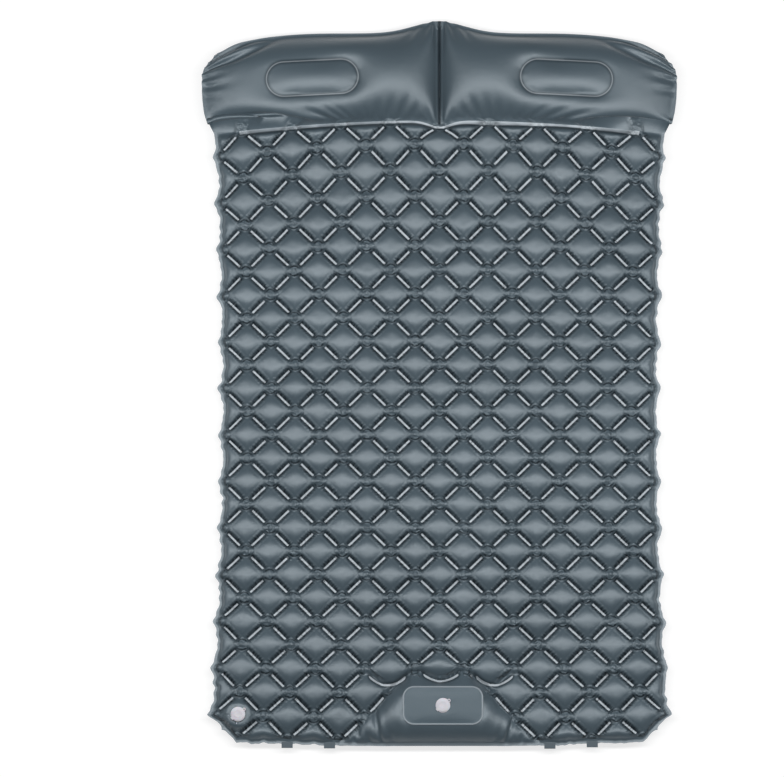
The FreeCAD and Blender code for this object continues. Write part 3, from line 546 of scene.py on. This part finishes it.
    def inflate(self, rounds, pressure):
        """Blows the sheet up against the welds."""
        inner = ~self.edge
        area = (FLAT_CELL_WIDTH / self.steps) ** 2
        share = np.where(self.b > 0, PILLOW_PRESSURE, 1 + (PUMP_PRESSURE - 1) * pump_share(self))
        push = pressure / area * inner * self.free * share
        tie = np.abs(tie_distance(self.points[0], self.points[1])) < TIE_HOLD
        tie &= self.b > 0
        floor = self.plan_weld - WELD_SAG
        for _ in range(rounds):
            self.speed = self.speed * self.DRAG + self.normals() * push
            before = self.points.copy()
            self.points += self.speed * self.free
            self.hold_lengths()
            plan_gap = self.plan[:2, self.edge] - self.points[:2, self.edge]
            self.points[:2, self.edge] += plan_gap * self.RIM_HOLD / 2
            height = self.points[2]
            height[self.edge] += (self.plan[2][self.edge] - height[self.edge]) * self.RIM_HOLD
            height[inner] = np.maximum(height[inner], floor[inner])
            height[tie] = np.minimum(height[tie], TIE_TOP)
            self.speed = self.points - before


def inflated_cloth():
    cloth = None
    for steps, rounds, pressure in INFLATION_STAGES:
        cloth = Cloth(steps, cloth)
        if steps == INFLATION_STAGES[0][0]:
            noise = np.random.default_rng(SEED).normal(0, START_NOISE, cloth.points.shape)
            cloth.points += noise.astype(np.float32) * cloth.free
        cloth.inflate(rounds, pressure)
    return cloth


# ---------------------------------------------------------------- meshes
def add_object(name, data):
    """A new object in the scene."""
    obj = bpy.data.objects.new(name, data)
    bpy.context.scene.collection.objects.link(obj)
    return obj


def make_object(name, points, faces, uv=None, places=None):
    """A smooth mesh object from points in millimetres, with flat places as UVs and per-point values."""
    mesh = bpy.data.meshes.new(name)
    mesh.from_pydata((np.asarray(points) * MM).tolist(), [], np.asarray(faces).tolist())
    mesh.shade_smooth()
    if uv is not None:
        corner_points = np.zeros(len(mesh.loops), np.int32)
        mesh.loops.foreach_get("vertex_index", corner_points)
        layer = mesh.uv_layers.new(name="flat")
        layer.data.foreach_set("uv", (np.asarray(uv)[corner_points] * MM).astype(np.float32).ravel())
    for key, values in (places or {}).items():
        single = values.ndim == 1
        attribute = mesh.attributes.new(key, "FLOAT" if single else "FLOAT_VECTOR", "POINT")
        attribute.data.foreach_set("value" if single else "vector", values.astype(np.float32).ravel())
    mesh.validate()
    mesh.update()
    return add_object(name, mesh)


def tube_faces(rings, count, first=0):
    """Quads that join this many rings of points, one after another."""
    faces = []
    for corner in range(first, first + (rings - 1) * count, count):
        for n in range(count):
            m = (n + 1) % count
            faces.append((corner + n, corner + m, corner + count + m, corner + count + n))
    return faces


def quad_middle(values):
    """The mean of a value over each quad's corners."""
    return (values[:-1, :-1] + values[1:, :-1] + values[1:, 1:] + values[:-1, 1:]) / 4


def touched(chosen):
    """The points at the corners of the chosen quads."""
    out = np.zeros((chosen.shape[0] + 1, chosen.shape[1] + 1), bool)
    for rows in (slice(None, -1), slice(1, None)):
        for columns in (slice(None, -1), slice(1, None)):
            out[rows, columns] |= chosen
    return out


def grid_piece(name, cloth, points, chosen, places, upward=True):
    """The chosen quads of the cloth's grid as an object, each split along the nearer bar's direction."""
    height, width = cloth.u.shape
    index = np.arange(height * width).reshape(height, width)
    quads = np.stack([index[:-1, :-1], index[1:, :-1], index[1:, 1:], index[:-1, 1:]], -1)[chosen]
    turned = quad_middle(np.abs(np.sin(math.pi * (cloth.u + cloth.v)))
                         - np.abs(np.sin(math.pi * (cloth.u - cloth.v))))[chosen] > 0
    quads[turned] = np.roll(quads[turned], 1, 1)
    triangles = np.concatenate([quads[:, [0, 1, 2]], quads[:, [0, 2, 3]]])
    if not upward:
        triangles = triangles[:, ::-1]
    used, faces = np.unique(triangles, return_inverse=True)
    kept = {key: values.reshape(*values.shape[:-2], -1).T[used] for key, values in places.items()}
    return make_object(name, points.reshape(3, -1).T[used], faces.reshape(-1, 3),
                       cloth.flat.reshape(2, -1).T[used], kept)


def arc_distance(x, y):
    """Plan distance to the nearest of the curved welds over the pump, each a low parabola."""
    nearest = np.full(x.shape, FAR)
    for middle_x, bottom_y, half, sag in PUMP_ARCS:
        across = (x - middle_x) / half
        slope = 2 * sag * across / half
        off_curve = np.abs(y - bottom_y - sag * across ** 2) / np.hypot(1, slope)
        off_end = np.maximum(np.abs(x - middle_x) - half, 0)
        nearest = np.minimum(nearest, np.hypot(off_curve, off_end))
    return nearest


def lattice_places(cloth):
    """Per-point values that the fabric's material draws its welds and its painted shade from."""
    x, y = cloth.points[0], cloth.points[1]
    on_pillow, from_middle = cloth.b > 0, np.abs(cloth.u - MIDDLE)
    seam = np.where(on_pillow, FAR, cloth.v * FLAT_CELL_LENGTH)
    seam = seam + SEAM_WAVE * waves(x, x * 0, *SEAM_WAVES, SEED)
    seam = np.where(from_middle <= MIDDLE - SEAM_END, seam, FAR)
    rim = rim_distance(cloth.u, cloth.v, cloth.b)
    arc = arc_distance(x, y)
    in_pump = (ROWS - cloth.v < pump_top(cloth.u) - PUMP_BARS) & (from_middle < PUMP_REACH)
    quilted = np.where(on_pillow | in_pump | (rim < BARE_RIM) | (arc < BARE_ARC), 0, 1)
    return {"lattice": np.stack([cloth.u, drawn_rows(cloth.u, cloth.v), quilted]),
            "seam": seam, "rim": np.where(on_pillow, FAR, rim),
            "tie": np.where(on_pillow, tie_distance(x, y), FAR),
            "cleft": np.where(on_pillow, from_middle * FLAT_CELL_WIDTH, FAR), "arc": arc}


def pump_share(cloth):
    """1 inside the pump's outline, 0 outside."""
    from_middle, from_foot = np.abs(cloth.u - MIDDLE), ROWS - cloth.v
    return ((from_foot < pump_top(cloth.u)) & (cloth.b == 0) & (from_middle < PUMP_REACH)).astype(float)


def underside(cloth):
    """The lower sheet: the upper one turned over, as deep as it can go above the floor."""
    points = cloth.points.copy()
    bulge = (points[2] - cloth.plan_weld) * np.where(cloth.b > 0, PILLOW_DEPTH, FIELD_DEPTH)
    points[2] = np.maximum(cloth.plan_weld - bulge - SHEET_GAP, FLOOR_GAP)
    points[2][cloth.edge] -= LOWER_DROP
    return points


def upper_side(cloth, over_pump):
    """The upper sheet, brought down to the weld all along the pump's outline but over the sleeve."""
    points = cloth.points.copy()
    points[2][cloth.edge] += UPPER_LIFT
    closed = touched(over_pump) & touched(~over_pump)
    closed &= sleeve_distance(cloth.u, cloth.v) > SLEEVE_REACH
    points[2][closed] = cloth.plan_weld[closed]
    return points


def set_hole(obj, x, y, radius):
    """Cuts a round hole for a valve's neck, and moves the edge of the faces that stay to its radius."""
    mesh = bmesh.new()
    mesh.from_mesh(obj.data)
    centre = Vector((x * MM, y * MM, 0))

    def gap(vertex):
        return math.hypot(vertex.co.x - centre.x, vertex.co.y - centre.y)

    inner = [face for face in mesh.faces if min(map(gap, face.verts)) < radius * MM * 0.9]
    bmesh.ops.delete(mesh, geom=inner, context="FACES")
    for vertex in mesh.verts:
        if vertex.is_boundary and gap(vertex) < 2 * radius * MM:
            way = Vector((vertex.co.x - centre.x, vertex.co.y - centre.y, 0)).normalized() * radius * MM
            vertex.co.x, vertex.co.y = centre.x + way.x, centre.y + way.y
    mesh.to_mesh(obj.data)
    mesh.free()


def rounded_outline(length, width, corner, steps=12):
    """Points round a rounded rectangle, anticlockwise from its lower left corner."""
    arcs = []
    for quarter, (side_x, side_y) in enumerate(((-1, -1), (1, -1), (1, 1), (-1, 1))):
        turn = np.radians(180 + 90 * (quarter + np.arange(steps + 1) / steps))
        arcs.append(np.column_stack([side_x * (length / 2 - corner) + corner * np.cos(turn),
                                     side_y * (width / 2 - corner) + corner * np.sin(turn)]))
    points = []
    for arc, following in zip(arcs, arcs[1:] + arcs[:1]):
        share = np.arange(1, steps)[:, None] / steps
        points += [arc, arc[-1] + (following[0] - arc[-1]) * share]
    return np.concatenate(points)


# ---------------------------------------------------------------- fabric pieces
def build_panel(materials):
    """The pump's foot panel: a slightly crowned sheet inside a raised weld bead, round the valve's neck."""
    base = PANEL_LOW[2] - PANEL_DROP + PANEL_LIFT
    rings = []
    for inset, height in BEAD:
        shape = rounded_outline(PANEL_LENGTH - 2 * inset, PANEL_WIDTH - 2 * inset, PANEL_CORNER - inset)
        rings.append(np.column_stack([shape, np.full(len(shape), base + height)]))
    outline = rings[0][:, :2]
    circle = outline / np.hypot(*outline.T)[:, None] * NECK_HOLE
    inner, inner_height = rings[-1][:, :2], BEAD[-1][1]
    for share in np.arange(1, CROWN_RINGS + 1) / CROWN_RINGS:
        plan = inner + (circle - inner) * share
        crown = inner_height + PANEL_CROWN * (1 - (1 - share) ** 2) - NECK_DIP * share ** 6
        rings.append(np.column_stack([plan, np.full(len(plan), base + crown)]))
    points = np.concatenate(rings) + (PANEL_X, PANEL_Y, 0)
    on_bead = [0] + [1] * (len(BEAD) - 2) + [0] * (CROWN_RINGS + 1)
    bead = np.repeat(on_bead, len(outline)).astype(float)
    faces = tube_faces(len(rings), len(outline))
    piece = make_object("foot_panel_cover", points, faces, points[:, :2], {"bead": bead})
    piece.data.materials.append(materials["panel"])
    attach(piece, "foot_panel")
    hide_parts("pump_panel")


def build_tie(side, materials):
    """The ring-shaped film inside a pillow, with small air holes in its two straight sides."""
    centre_x, centre_y = tie_middle()
    outline = rounded_outline(TIE_LENGTH, TIE_WIDTH, TIE_WIDTH / 2 - 0.01)
    turn = -math.radians(TIE_TILT) * side
    turned = outline @ np.array([[math.cos(turn), math.sin(turn)], [-math.sin(turn), math.cos(turn)]])
    points = []
    for k, height in enumerate(np.linspace(TIE_BOTTOM, TIE_TOP - TIE_PLAY, TIE_LEVELS)):
        waist = 1 - TIE_WAIST * math.sin(math.pi * k / (TIE_LEVELS - 1))
        points += [(side * centre_x + x * waist, centre_y + y * waist, height) for x, y in turned]
    straight = np.abs(outline[:, 0]) < TIE_LENGTH / 2 - TIE_WIDTH / 2
    vents = {level * len(outline) + n for level in VENT_LEVELS
             for n in range(0, len(outline), VENT_SPACING) if straight[n]}
    faces = [face for n, face in enumerate(tube_faces(TIE_LEVELS, len(outline))) if n not in vents]
    name = "left_pillow" if side < 0 else "right_pillow"
    piece = make_object(name + "_tie", points, faces)
    piece.modifiers.new("thickness", "SOLIDIFY").thickness = FILM_THICKNESS * MM
    piece.data.materials.append(materials["film"])
    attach(piece, "pad")
    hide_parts(name + "_baffle")


def build_fabric(cloth, materials):
    """The pad's sheets: quilted field, two pillows, pump cover and underside."""
    places = lattice_places(cloth)
    over_pillow = quad_middle(cloth.b) > 0
    left = quad_middle(cloth.u) < MIDDLE
    over_pump = (quad_middle(pump_share(cloth)) > 0.5) & ~over_pillow
    from_panel = rounded_distance(
        quad_middle(cloth.points[0]) - PANEL_X, quad_middle(cloth.points[1]) - PANEL_Y,
        PANEL_LENGTH - 2 * PANEL_OVERLAP, PANEL_WIDTH - 2 * PANEL_OVERLAP, PANEL_CORNER - PANEL_OVERLAP)
    upper = upper_side(cloth, over_pump)
    no_seam = {**places, "seam": np.full_like(places["seam"], FAR)}
    pieces = {}
    for name, points, chosen, marks, node in (
            ("quilted_field", upper, ~over_pillow & ~over_pump, places, "top_skin"),
            ("left_pillow_cover", upper, over_pillow & left, no_seam, "left_pillow_skin"),
            ("right_pillow_cover", upper, over_pillow & ~left, no_seam, "right_pillow_skin"),
            ("pump_dome", upper, over_pump & (from_panel >= 0), places, "pump_cover"),
            ("underside", underside(cloth), np.ones_like(left), places, "bottom_skin")):
        below = name == "underside"
        piece = grid_piece(name, cloth, points, chosen, marks, upward=not below)
        piece.data.materials.append(materials["fabric"])
        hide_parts(node)
        if name == "pump_dome":
            press_down(piece)
        else:
            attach(piece, "pad")
        pieces[name] = piece
    set_hole(pieces["quilted_field"], VALVE_X, VALVE_Y, NECK_HOLE)


def press_down(piece):
    """Attaches a piece to the pad's body and gives it a mesh of its own."""
    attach(piece, "pad")
    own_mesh(piece)


def build_tabs(cloth, material):
    """Short doubled tabs that stand out of the foot rim, in one piece."""
    wide, out, thick = TAB_SIZE
    half = thick / 2
    bend = np.radians(np.arange(-90, 91, 30))
    profile = [(TAB_ROOT, -half)]
    profile += [(half - out - half * math.cos(t), half * math.sin(t)) for t in bend]
    profile += [(TAB_ROOT, half)]
    count, sections = len(profile), len(TAB_SECTIONS)
    points, faces = [], []
    for u in TAB_PLACES:
        x, y, z = cloth.points[:, -1, np.argmin(np.abs(cloth.columns - u))]
        first, last = len(points), len(points) + (sections - 1) * count
        for share, shrink in TAB_SECTIONS:
            points += [(x + share * wide, y + along, z + TAB_LIFT + up * shrink) for along, up in profile]
        faces += tube_faces(sections, count, first)
        faces += [tuple(range(first, first + count))[::-1], tuple(range(last, last + count))]
    mesh = bpy.data.meshes.new("foot_tabs")
    mesh.from_pydata((np.array(points) * MM).tolist(), [], faces)
    mesh.materials.append(material)
    piece = add_object("foot_tabs", mesh)
    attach(piece, "pad")


# ---------------------------------------------------------------- moulded pieces
def soften(piece):
    """Rounds a moulding's edges a little and shades its round walls smooth."""
    bevel = piece.modifiers.new("edges", "BEVEL")
    bevel.width = EDGE_ROUNDING * MM
    bevel.segments = 3
    bevel.angle_limit = math.radians(SMOOTH_ANGLE)
    bevel.harden_normals = True
    bpy.context.view_layer.objects.active = piece
    with bpy.context.temp_override(object=piece, active_object=piece, selected_objects=[piece]):
        bpy.ops.object.shade_smooth_by_angle(angle=math.radians(SMOOTH_ANGLE))


def build_moulded(node, material):
    """A CAD node's own shape with its facets joined, its edges softened and its round walls smooth."""
    source = frame["nodes"][node]
    mesh = bmesh.new()
    mesh.from_mesh(source.data)
    bmesh.ops.remove_doubles(mesh, verts=mesh.verts, dist=0.01 * MM)
    bmesh.ops.dissolve_limit(mesh, angle_limit=math.radians(1), verts=mesh.verts, edges=mesh.edges)
    data = bpy.data.meshes.new(node + "_moulded")
    mesh.to_mesh(data)
    mesh.free()
    data.materials.clear()
    data.materials.append(material)
    data.shade_smooth()
    piece = add_object(node + "_moulded", data)
    soften(piece)
    if node == "pump_foam":
        press_down(piece)
    else:
        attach(piece, body_of(source)[0])
    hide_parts(node)
    return piece


# ---------------------------------------------------------------- materials
class Nodes:
    """Short ways to add shader nodes to a material."""

    def __init__(self, name):
        self.material = bpy.data.materials.new(name)
        self.material.use_nodes = True
        self.tree = self.material.node_tree
        self.surface = self.tree.nodes["Principled BSDF"]

    def add(self, kind, **inputs):
        """A node of this kind, with underscores for the spaces in its inputs' names."""
        node = self.tree.nodes.new(kind)
        for key, value in inputs.items():
            self.put(node.inputs[key.replace("_", " ")], value)
        return node

    def put(self, socket, value):
        """Links an output to the socket, or sets the socket to a plain value."""
        if isinstance(value, bpy.types.NodeSocket):
            self.tree.links.new(value, socket)
        else:
            socket.default_value = value

    def finish(self, **inputs):
        """Sets the surface's inputs and hands over the material."""
        for key, value in inputs.items():
            self.put(self.surface.inputs[key.replace("_", " ")], value)
        return self.material

    def math(self, operation, *values):
        node = self.tree.nodes.new("ShaderNodeMath")
        node.operation = operation
        for socket, value in zip(node.inputs, values):
            self.put(socket, value)
        return node.outputs[0]

    def product(self, first, second):
        return self.math("MULTIPLY", first, second)

    def scaled(self, value, factor, offset):
        return self.math("ADD", self.product(value, factor), offset)

    def highest(self, first, *others):
        for other in others:
            first = self.math("MAXIMUM", first, other)
        return first

    def size_of(self, value, offset=0.0):
        """How far a value is from the offset."""
        return self.math("ABSOLUTE", self.math("SUBTRACT", value, offset))

    def read(self, name, output="Fac"):
        """A per-point value of the mesh."""
        node = self.tree.nodes.new("ShaderNodeAttribute")
        node.attribute_name = name
        return node.outputs[output]

    def object_place(self):
        return self.add("ShaderNodeTexCoord").outputs["Object"]

    def below(self, value, limit, softness):
        """1 where value is well below limit, 0 where it is above."""
        node = self.add("ShaderNodeMapRange", Value=value, From_Min=limit - softness,
                        From_Max=limit + softness, To_Min=1.0, To_Max=0.0)
        node.interpolation_type = "SMOOTHSTEP"
        return node.outputs[0]

    def line(self, name, place, half_width, softness, strength):
        """A line along the places where a per-point distance has this value."""
        gap = self.size_of(self.read(name), place)
        return self.product(self.below(gap, half_width, softness), strength)

    def blend(self, share, first, second):
        """The first colour, and the second where share is 1."""
        node = self.tree.nodes.new("ShaderNodeMix")
        node.data_type = "RGBA"
        self.put(node.inputs[0], share)
        self.put(node.inputs[6], first)
        self.put(node.inputs[7], second)
        return node.outputs[2]

    def noise(self, vector, scale, detail=2.0):
        return self.add("ShaderNodeTexNoise", Vector=vector, Scale=scale, Detail=detail).outputs[0]

    def bump(self, height, distance, strength, under=None):
        """A normal bumped by this height, over another bump if there is one."""
        node = self.add("ShaderNodeBump", Height=height, Distance=distance, Strength=strength)
        if under is not None:
            self.put(node.inputs["Normal"], under)
        return node.outputs[0]


def cloth_normal(nodes):
    """The normal of the fabric's fine plain weave with its slightly uneven coating."""
    flat = nodes.tree.nodes.new("ShaderNodeSeparateXYZ")
    nodes.put(flat.inputs[0], nodes.add("ShaderNodeUVMap").outputs[0])
    per_thread = 2 * math.pi / (WEAVE_PITCH * MM)
    threads = [nodes.math("SINE", nodes.product(flat.outputs[k], per_thread)) for k in (0, 1)]
    normal = nodes.bump(nodes.product(*threads), *WEAVE_BUMP)
    return nodes.bump(nodes.noise(nodes.object_place(), 55.0, 4.0), *COATING_BUMP, normal)


def bar_marks(nodes, across, along):
    """For the bars of one direction: a place's offset from their line, its shares on a bar and in the
    painted shade beside it, and the height of the gathers there."""
    side = CELL_WIDTH / math.sqrt(2)
    half_bar, half_groove = (BAR_END - BAR_START) / 2, GROOVE_REACH / 2
    offset = nodes.math("SUBTRACT", nodes.math("FRACT", across), 0.5)
    off_side = nodes.product(nodes.size_of(offset), side)
    from_middle = nodes.size_of(nodes.math("FRACT", nodes.math("ADD", along, 0.5)), 0.5)
    bar = nodes.product(nodes.below(off_side, BAR_WIDTH / 2 - BAR_TRIM, BAR_SOFTNESS),
                        nodes.below(from_middle, half_bar - END_TRIM, END_SOFTNESS))
    beside = nodes.product(nodes.below(off_side, BAR_WIDTH / 2 + half_groove, half_groove),
                           nodes.below(from_middle, half_bar + GROOVE_END, GROOVE_END_SOFTNESS))
    place = nodes.tree.nodes.new("ShaderNodeCombineXYZ")
    nodes.put(place.inputs[0], nodes.product(along, side / PUCKER_LENGTH))
    nodes.put(place.inputs[1], nodes.product(across, PUCKER_STRETCH))
    ripple = nodes.noise(place.outputs[0], 1.0, 1.0)
    shade = nodes.product(beside, nodes.scaled(ripple, *GROOVE_CONTRAST))
    return offset, bar, shade, nodes.product(beside, ripple)


def knot_marks(nodes, offsets):
    """The painted shade of the arcs round the nearest knot, and the height of the crumpled cloth on it."""
    off_u = nodes.product(nodes.math("ADD", *offsets), CELL_WIDTH / 2)
    off_v = nodes.product(nodes.math("SUBTRACT", *offsets), CELL_LENGTH / 2)
    crumple = nodes.noise(nodes.object_place(), 90.0)
    squares = nodes.math("ADD", nodes.math("POWER", off_u, 2.0), nodes.math("POWER", off_v, 2.0))
    gap = nodes.math("SUBTRACT", nodes.math("SQRT", squares), KNOT_CRUMPLE / 2)
    gap = nodes.scaled(crumple, KNOT_CRUMPLE, gap)
    ring = nodes.below(nodes.size_of(gap, KNOT_RADIUS), *KNOT_ARC)
    sideways = nodes.math("SUBTRACT", nodes.size_of(off_u), nodes.size_of(off_v))
    shade = nodes.product(ring, nodes.scaled(nodes.below(sideways, 3.0, 3.0), *KNOT_ARC_SHADE))
    return shade, nodes.product(nodes.below(gap, KNOT_RADIUS + 3, 5.0), crumple)


def cell_marks(nodes):
    """Shares of a place on the welded bars and in the painted shade round them, and the height of its
    gathers.
    """
    parts = nodes.tree.nodes.new("ShaderNodeSeparateXYZ")
    nodes.put(parts.inputs[0], nodes.read("lattice", "Vector"))
    u, v, quilted = parts.outputs
    diagonals = nodes.math("ADD", u, v), nodes.math("SUBTRACT", u, v)
    marks = zip(bar_marks(nodes, *diagonals), bar_marks(nodes, *diagonals[::-1]))
    offsets, bars, shades, gathers = marks
    arcs, crumple = knot_marks(nodes, offsets)
    return [nodes.product(nodes.highest(*shares), quilted)
            for shares in (bars, (*shades, arcs), (*gathers, crumple))]


def fabric_material():
    """Satin coated nylon with lighter welds and gathers, and painted shade beside the bars, round the knots
    and along the cleft, ties, seam and curved welds.
    """
    nodes = Nodes("coated_nylon")
    place = nodes.object_place()
    bars, shades, gathers = cell_marks(nodes)
    shades = nodes.highest(shades, *[nodes.line(*line) for line in SHADE_LINES])
    cloudy = nodes.below(nodes.noise(place, 3.0, 3.0), 0.5, 0.2)
    # painted shade: the cloth darkens towards this colour beside the bars, round the knots and along the
    # cleft, ties, seam and curved welds
    base = nodes.blend(shades, nodes.blend(cloudy, FABRIC_COLOUR, FABRIC_DARK), PAINTED_SHADE_COLOUR)
    patchy = nodes.scaled(nodes.below(nodes.noise(place, 14.0), 0.5, 0.12), *SEAM_PATCHES)
    seam = nodes.product(nodes.below(nodes.read("seam"), SEAM_WIDTH, 1.5), patchy)
    rim = nodes.product(nodes.below(nodes.read("rim"), 0.0, 1.2), RIM_PALENESS)
    welds = nodes.highest(bars, seam, rim, *[nodes.line(*line) for line in WELD_LINES])
    return nodes.finish(
        Base_Color=nodes.blend(welds, base, WELD_COLOUR),
        Roughness=nodes.scaled(welds, -WELD_SMOOTHNESS, FABRIC_ROUGHNESS),
        Normal=nodes.bump(gathers, *GATHER_BUMP, cloth_normal(nodes)),
        # the painted shade also takes away gloss and coat
        Specular_IOR_Level=nodes.scaled(shades, -SHADED_GLOSS_LOSS, GLOSS),
        Specular_Tint=FABRIC_SHINE,
        Coat_Weight=nodes.scaled(shades, -COAT, COAT),
        Coat_Roughness=COAT_ROUGHNESS,
        Sheen_Weight=SHEEN,
        Sheen_Roughness=SHEEN_ROUGHNESS)


def panel_material():
    """The same cloth with a lighter weld bead round it, and no coat."""
    nodes = Nodes("foot_panel_nylon")
    bead = nodes.product(nodes.read("bead"), BEAD_PALENESS)
    return nodes.finish(
        Base_Color=nodes.blend(bead, FABRIC_COLOUR, WELD_COLOUR),
        Roughness=FABRIC_ROUGHNESS,
        Normal=cloth_normal(nodes),
        Specular_Tint=FABRIC_SHINE,
        Sheen_Weight=SHEEN,
        Sheen_Roughness=SHEEN_ROUGHNESS)


def plain_material(name, colour, roughness, grain, subsurface=0.0):
    """Moulded plastic, rubber, film or foam with a fine grain."""
    nodes = Nodes(name)
    fleck = nodes.noise(nodes.object_place(), 700.0, 3.0)
    darker = tuple(c * 0.9 for c in colour[:3]) + (1,)
    return nodes.finish(
        Base_Color=nodes.blend(nodes.below(fleck, 0.5, 0.2), colour, darker),
        Roughness=roughness,
        Subsurface_Weight=subsurface,
        Subsurface_Scale=2 * MM,
        Normal=nodes.bump(fleck, grain, 0.4))


def make_materials():
    return {
        "fabric": fabric_material(),
        "panel": panel_material(),
        "plastic": plain_material("valve_plastic", (0.62, 0.61, 0.66, 1), 0.38, 0.0001, 0.15),
        "rubber": plain_material("valve_rubber", (0.5, 0.52, 0.55, 1), 0.6, 0.0001),
        "webbing": plain_material("tab_webbing", FABRIC_COLOUR, 0.6, 0.0006),
        "film": plain_material("tie_film", (0.3, 0.33, 0.35, 1), 0.5, 0.0001),
        "foam": plain_material("pump_foam", (0.72, 0.69, 0.6, 1), 0.9, 0.001),
    }


def dress_nodes(materials):
    """The foam and the valves' mouldings, and better materials for the CAD nodes that stay."""
    chosen = {"check_valve_sleeve": "plastic", "check_valve_flap": "rubber"}
    build_moulded("pump_foam", materials["foam"])
    for valve in ("main_valve", "pump_valve"):
        for part in ("base", "plug", "cap"):
            build_moulded(f"{valve}_{part}", materials["plastic"])
        chosen[valve + "_patch"] = "film"
        chosen[valve + "_flap"] = "rubber"
    for node, material in chosen.items():
        for place in frame["nodes"][node].material_slots:
            place.material = materials[material]


# ---------------------------------------------------------------- floor, light and camera
def clear_tree(owner, output):
    """The emptied node tree of a material or world, with its output."""
    owner.use_nodes = True
    owner.node_tree.nodes.clear()
    return owner.node_tree, owner.node_tree.nodes.new(output)


def split_rays(tree, output, seen, unseen, rays):
    """Shows one shader to the rays of these kinds, and the other to the light's other rays."""
    path = tree.nodes.new("ShaderNodeLightPath")
    share = path.outputs[rays[0]]
    for name in rays[1:]:
        either = tree.nodes.new("ShaderNodeMath")
        either.operation = "MAXIMUM"
        tree.links.new(share, either.inputs[0])
        tree.links.new(path.outputs[name], either.inputs[1])
        share = either.outputs[0]
    mix = tree.nodes.new("ShaderNodeMixShader")
    tree.links.new(share, mix.inputs[0])
    tree.links.new(unseen.outputs[0], mix.inputs[1])
    tree.links.new(seen.outputs[0], mix.inputs[2])
    tree.links.new(mix.outputs[0], output.inputs["Surface"])


def build_floor():
    """A plain pale floor that shows almost white and keeps a faint shadow."""
    half = FLOOR_HALF
    mesh = bpy.data.meshes.new("floor")
    corners = (-half, -half, 0), (half, -half, 0), (half, half, 0), (-half, half, 0)
    mesh.from_pydata(corners, [], [(0, 1, 2, 3)])
    material = bpy.data.materials.new("pale_floor")
    tree, output = clear_tree(material, "ShaderNodeOutputMaterial")
    pale, shown, glow, seen = [tree.nodes.new(kind) for kind in (
        "ShaderNodeBsdfDiffuse", "ShaderNodeBsdfDiffuse", "ShaderNodeEmission", "ShaderNodeAddShader")]
    pale.inputs["Color"].default_value = (FLOOR_PALE, FLOOR_PALE, FLOOR_PALE, 1)
    shown.inputs["Color"].default_value = (FLOOR_SHOWN, FLOOR_SHOWN, FLOOR_SHOWN, 1)
    glow.inputs["Strength"].default_value = FLOOR_GLOW
    tree.links.new(shown.outputs[0], seen.inputs[0])
    tree.links.new(glow.outputs[0], seen.inputs[1])
    split_rays(tree, output, seen, pale, ("Is Camera Ray", "Is Glossy Ray", "Is Transmission Ray"))
    mesh.materials.append(material)
    add_object("floor", mesh)


def build_world():
    """A white sky for the camera, and a faint one as light."""
    world = bpy.data.worlds.new("studio")
    bpy.context.scene.world = world
    tree, output = clear_tree(world, "ShaderNodeOutputWorld")
    seen, unseen = [tree.nodes.new("ShaderNodeBackground") for _ in range(2)]
    seen.inputs["Color"].default_value = (1, 1, 1, 1)
    unseen.inputs["Color"].default_value = SKY_COLOUR
    unseen.inputs["Strength"].default_value = SKY_STRENGTH
    split_rays(tree, output, seen, unseen, ("Is Camera Ray",))


def build_light():
    """A soft rectangular lamp that faces the pad's middle."""
    data = bpy.data.lights.new("overhead_softbox", "AREA")
    data.shape = "RECTANGLE"
    data.size, data.size_y = LAMP_SIZE
    data.energy = LAMP_POWER
    lamp = add_object("overhead_softbox", data)
    lamp.location = LAMP_PLACE
    lamp.rotation_euler = (Vector() - Vector(LAMP_PLACE)).to_track_quat("-Z", "Y").to_euler()


def build_camera():
    """The camera at the photograph's angle, far off as the photograph's perspective is flat."""
    data = bpy.data.cameras.new("camera")
    data.sensor_fit = "HORIZONTAL"
    data.sensor_width = SENSOR_WIDTH
    data.lens = SENSOR_WIDTH * CAMERA_DISTANCE / (VIEW_WIDTH * MM)
    data.clip_start = 1
    data.clip_end = 300
    camera = add_object("camera", data)
    up = math.radians(CAMERA_ELEVATION)
    away = Vector((0, -math.cos(up), math.sin(up)))
    camera.location = Vector(LOOK_AT) + away * CAMERA_DISTANCE
    camera.rotation_euler = (-away).to_track_quat("-Z", "Y").to_euler()
    bpy.context.scene.camera = camera


def main():
    bpy.context.scene.view_settings.view_transform = "Standard"
    build_camera()
    materials = make_materials()
    cloth = inflated_cloth()
    build_fabric(cloth, materials)
    build_tabs(cloth, materials["webbing"])
    build_panel(materials)
    for side in (-1, 1):
        build_tie(side, materials)
    dress_nodes(materials)
    build_floor()
    build_world()
    build_light()


main()
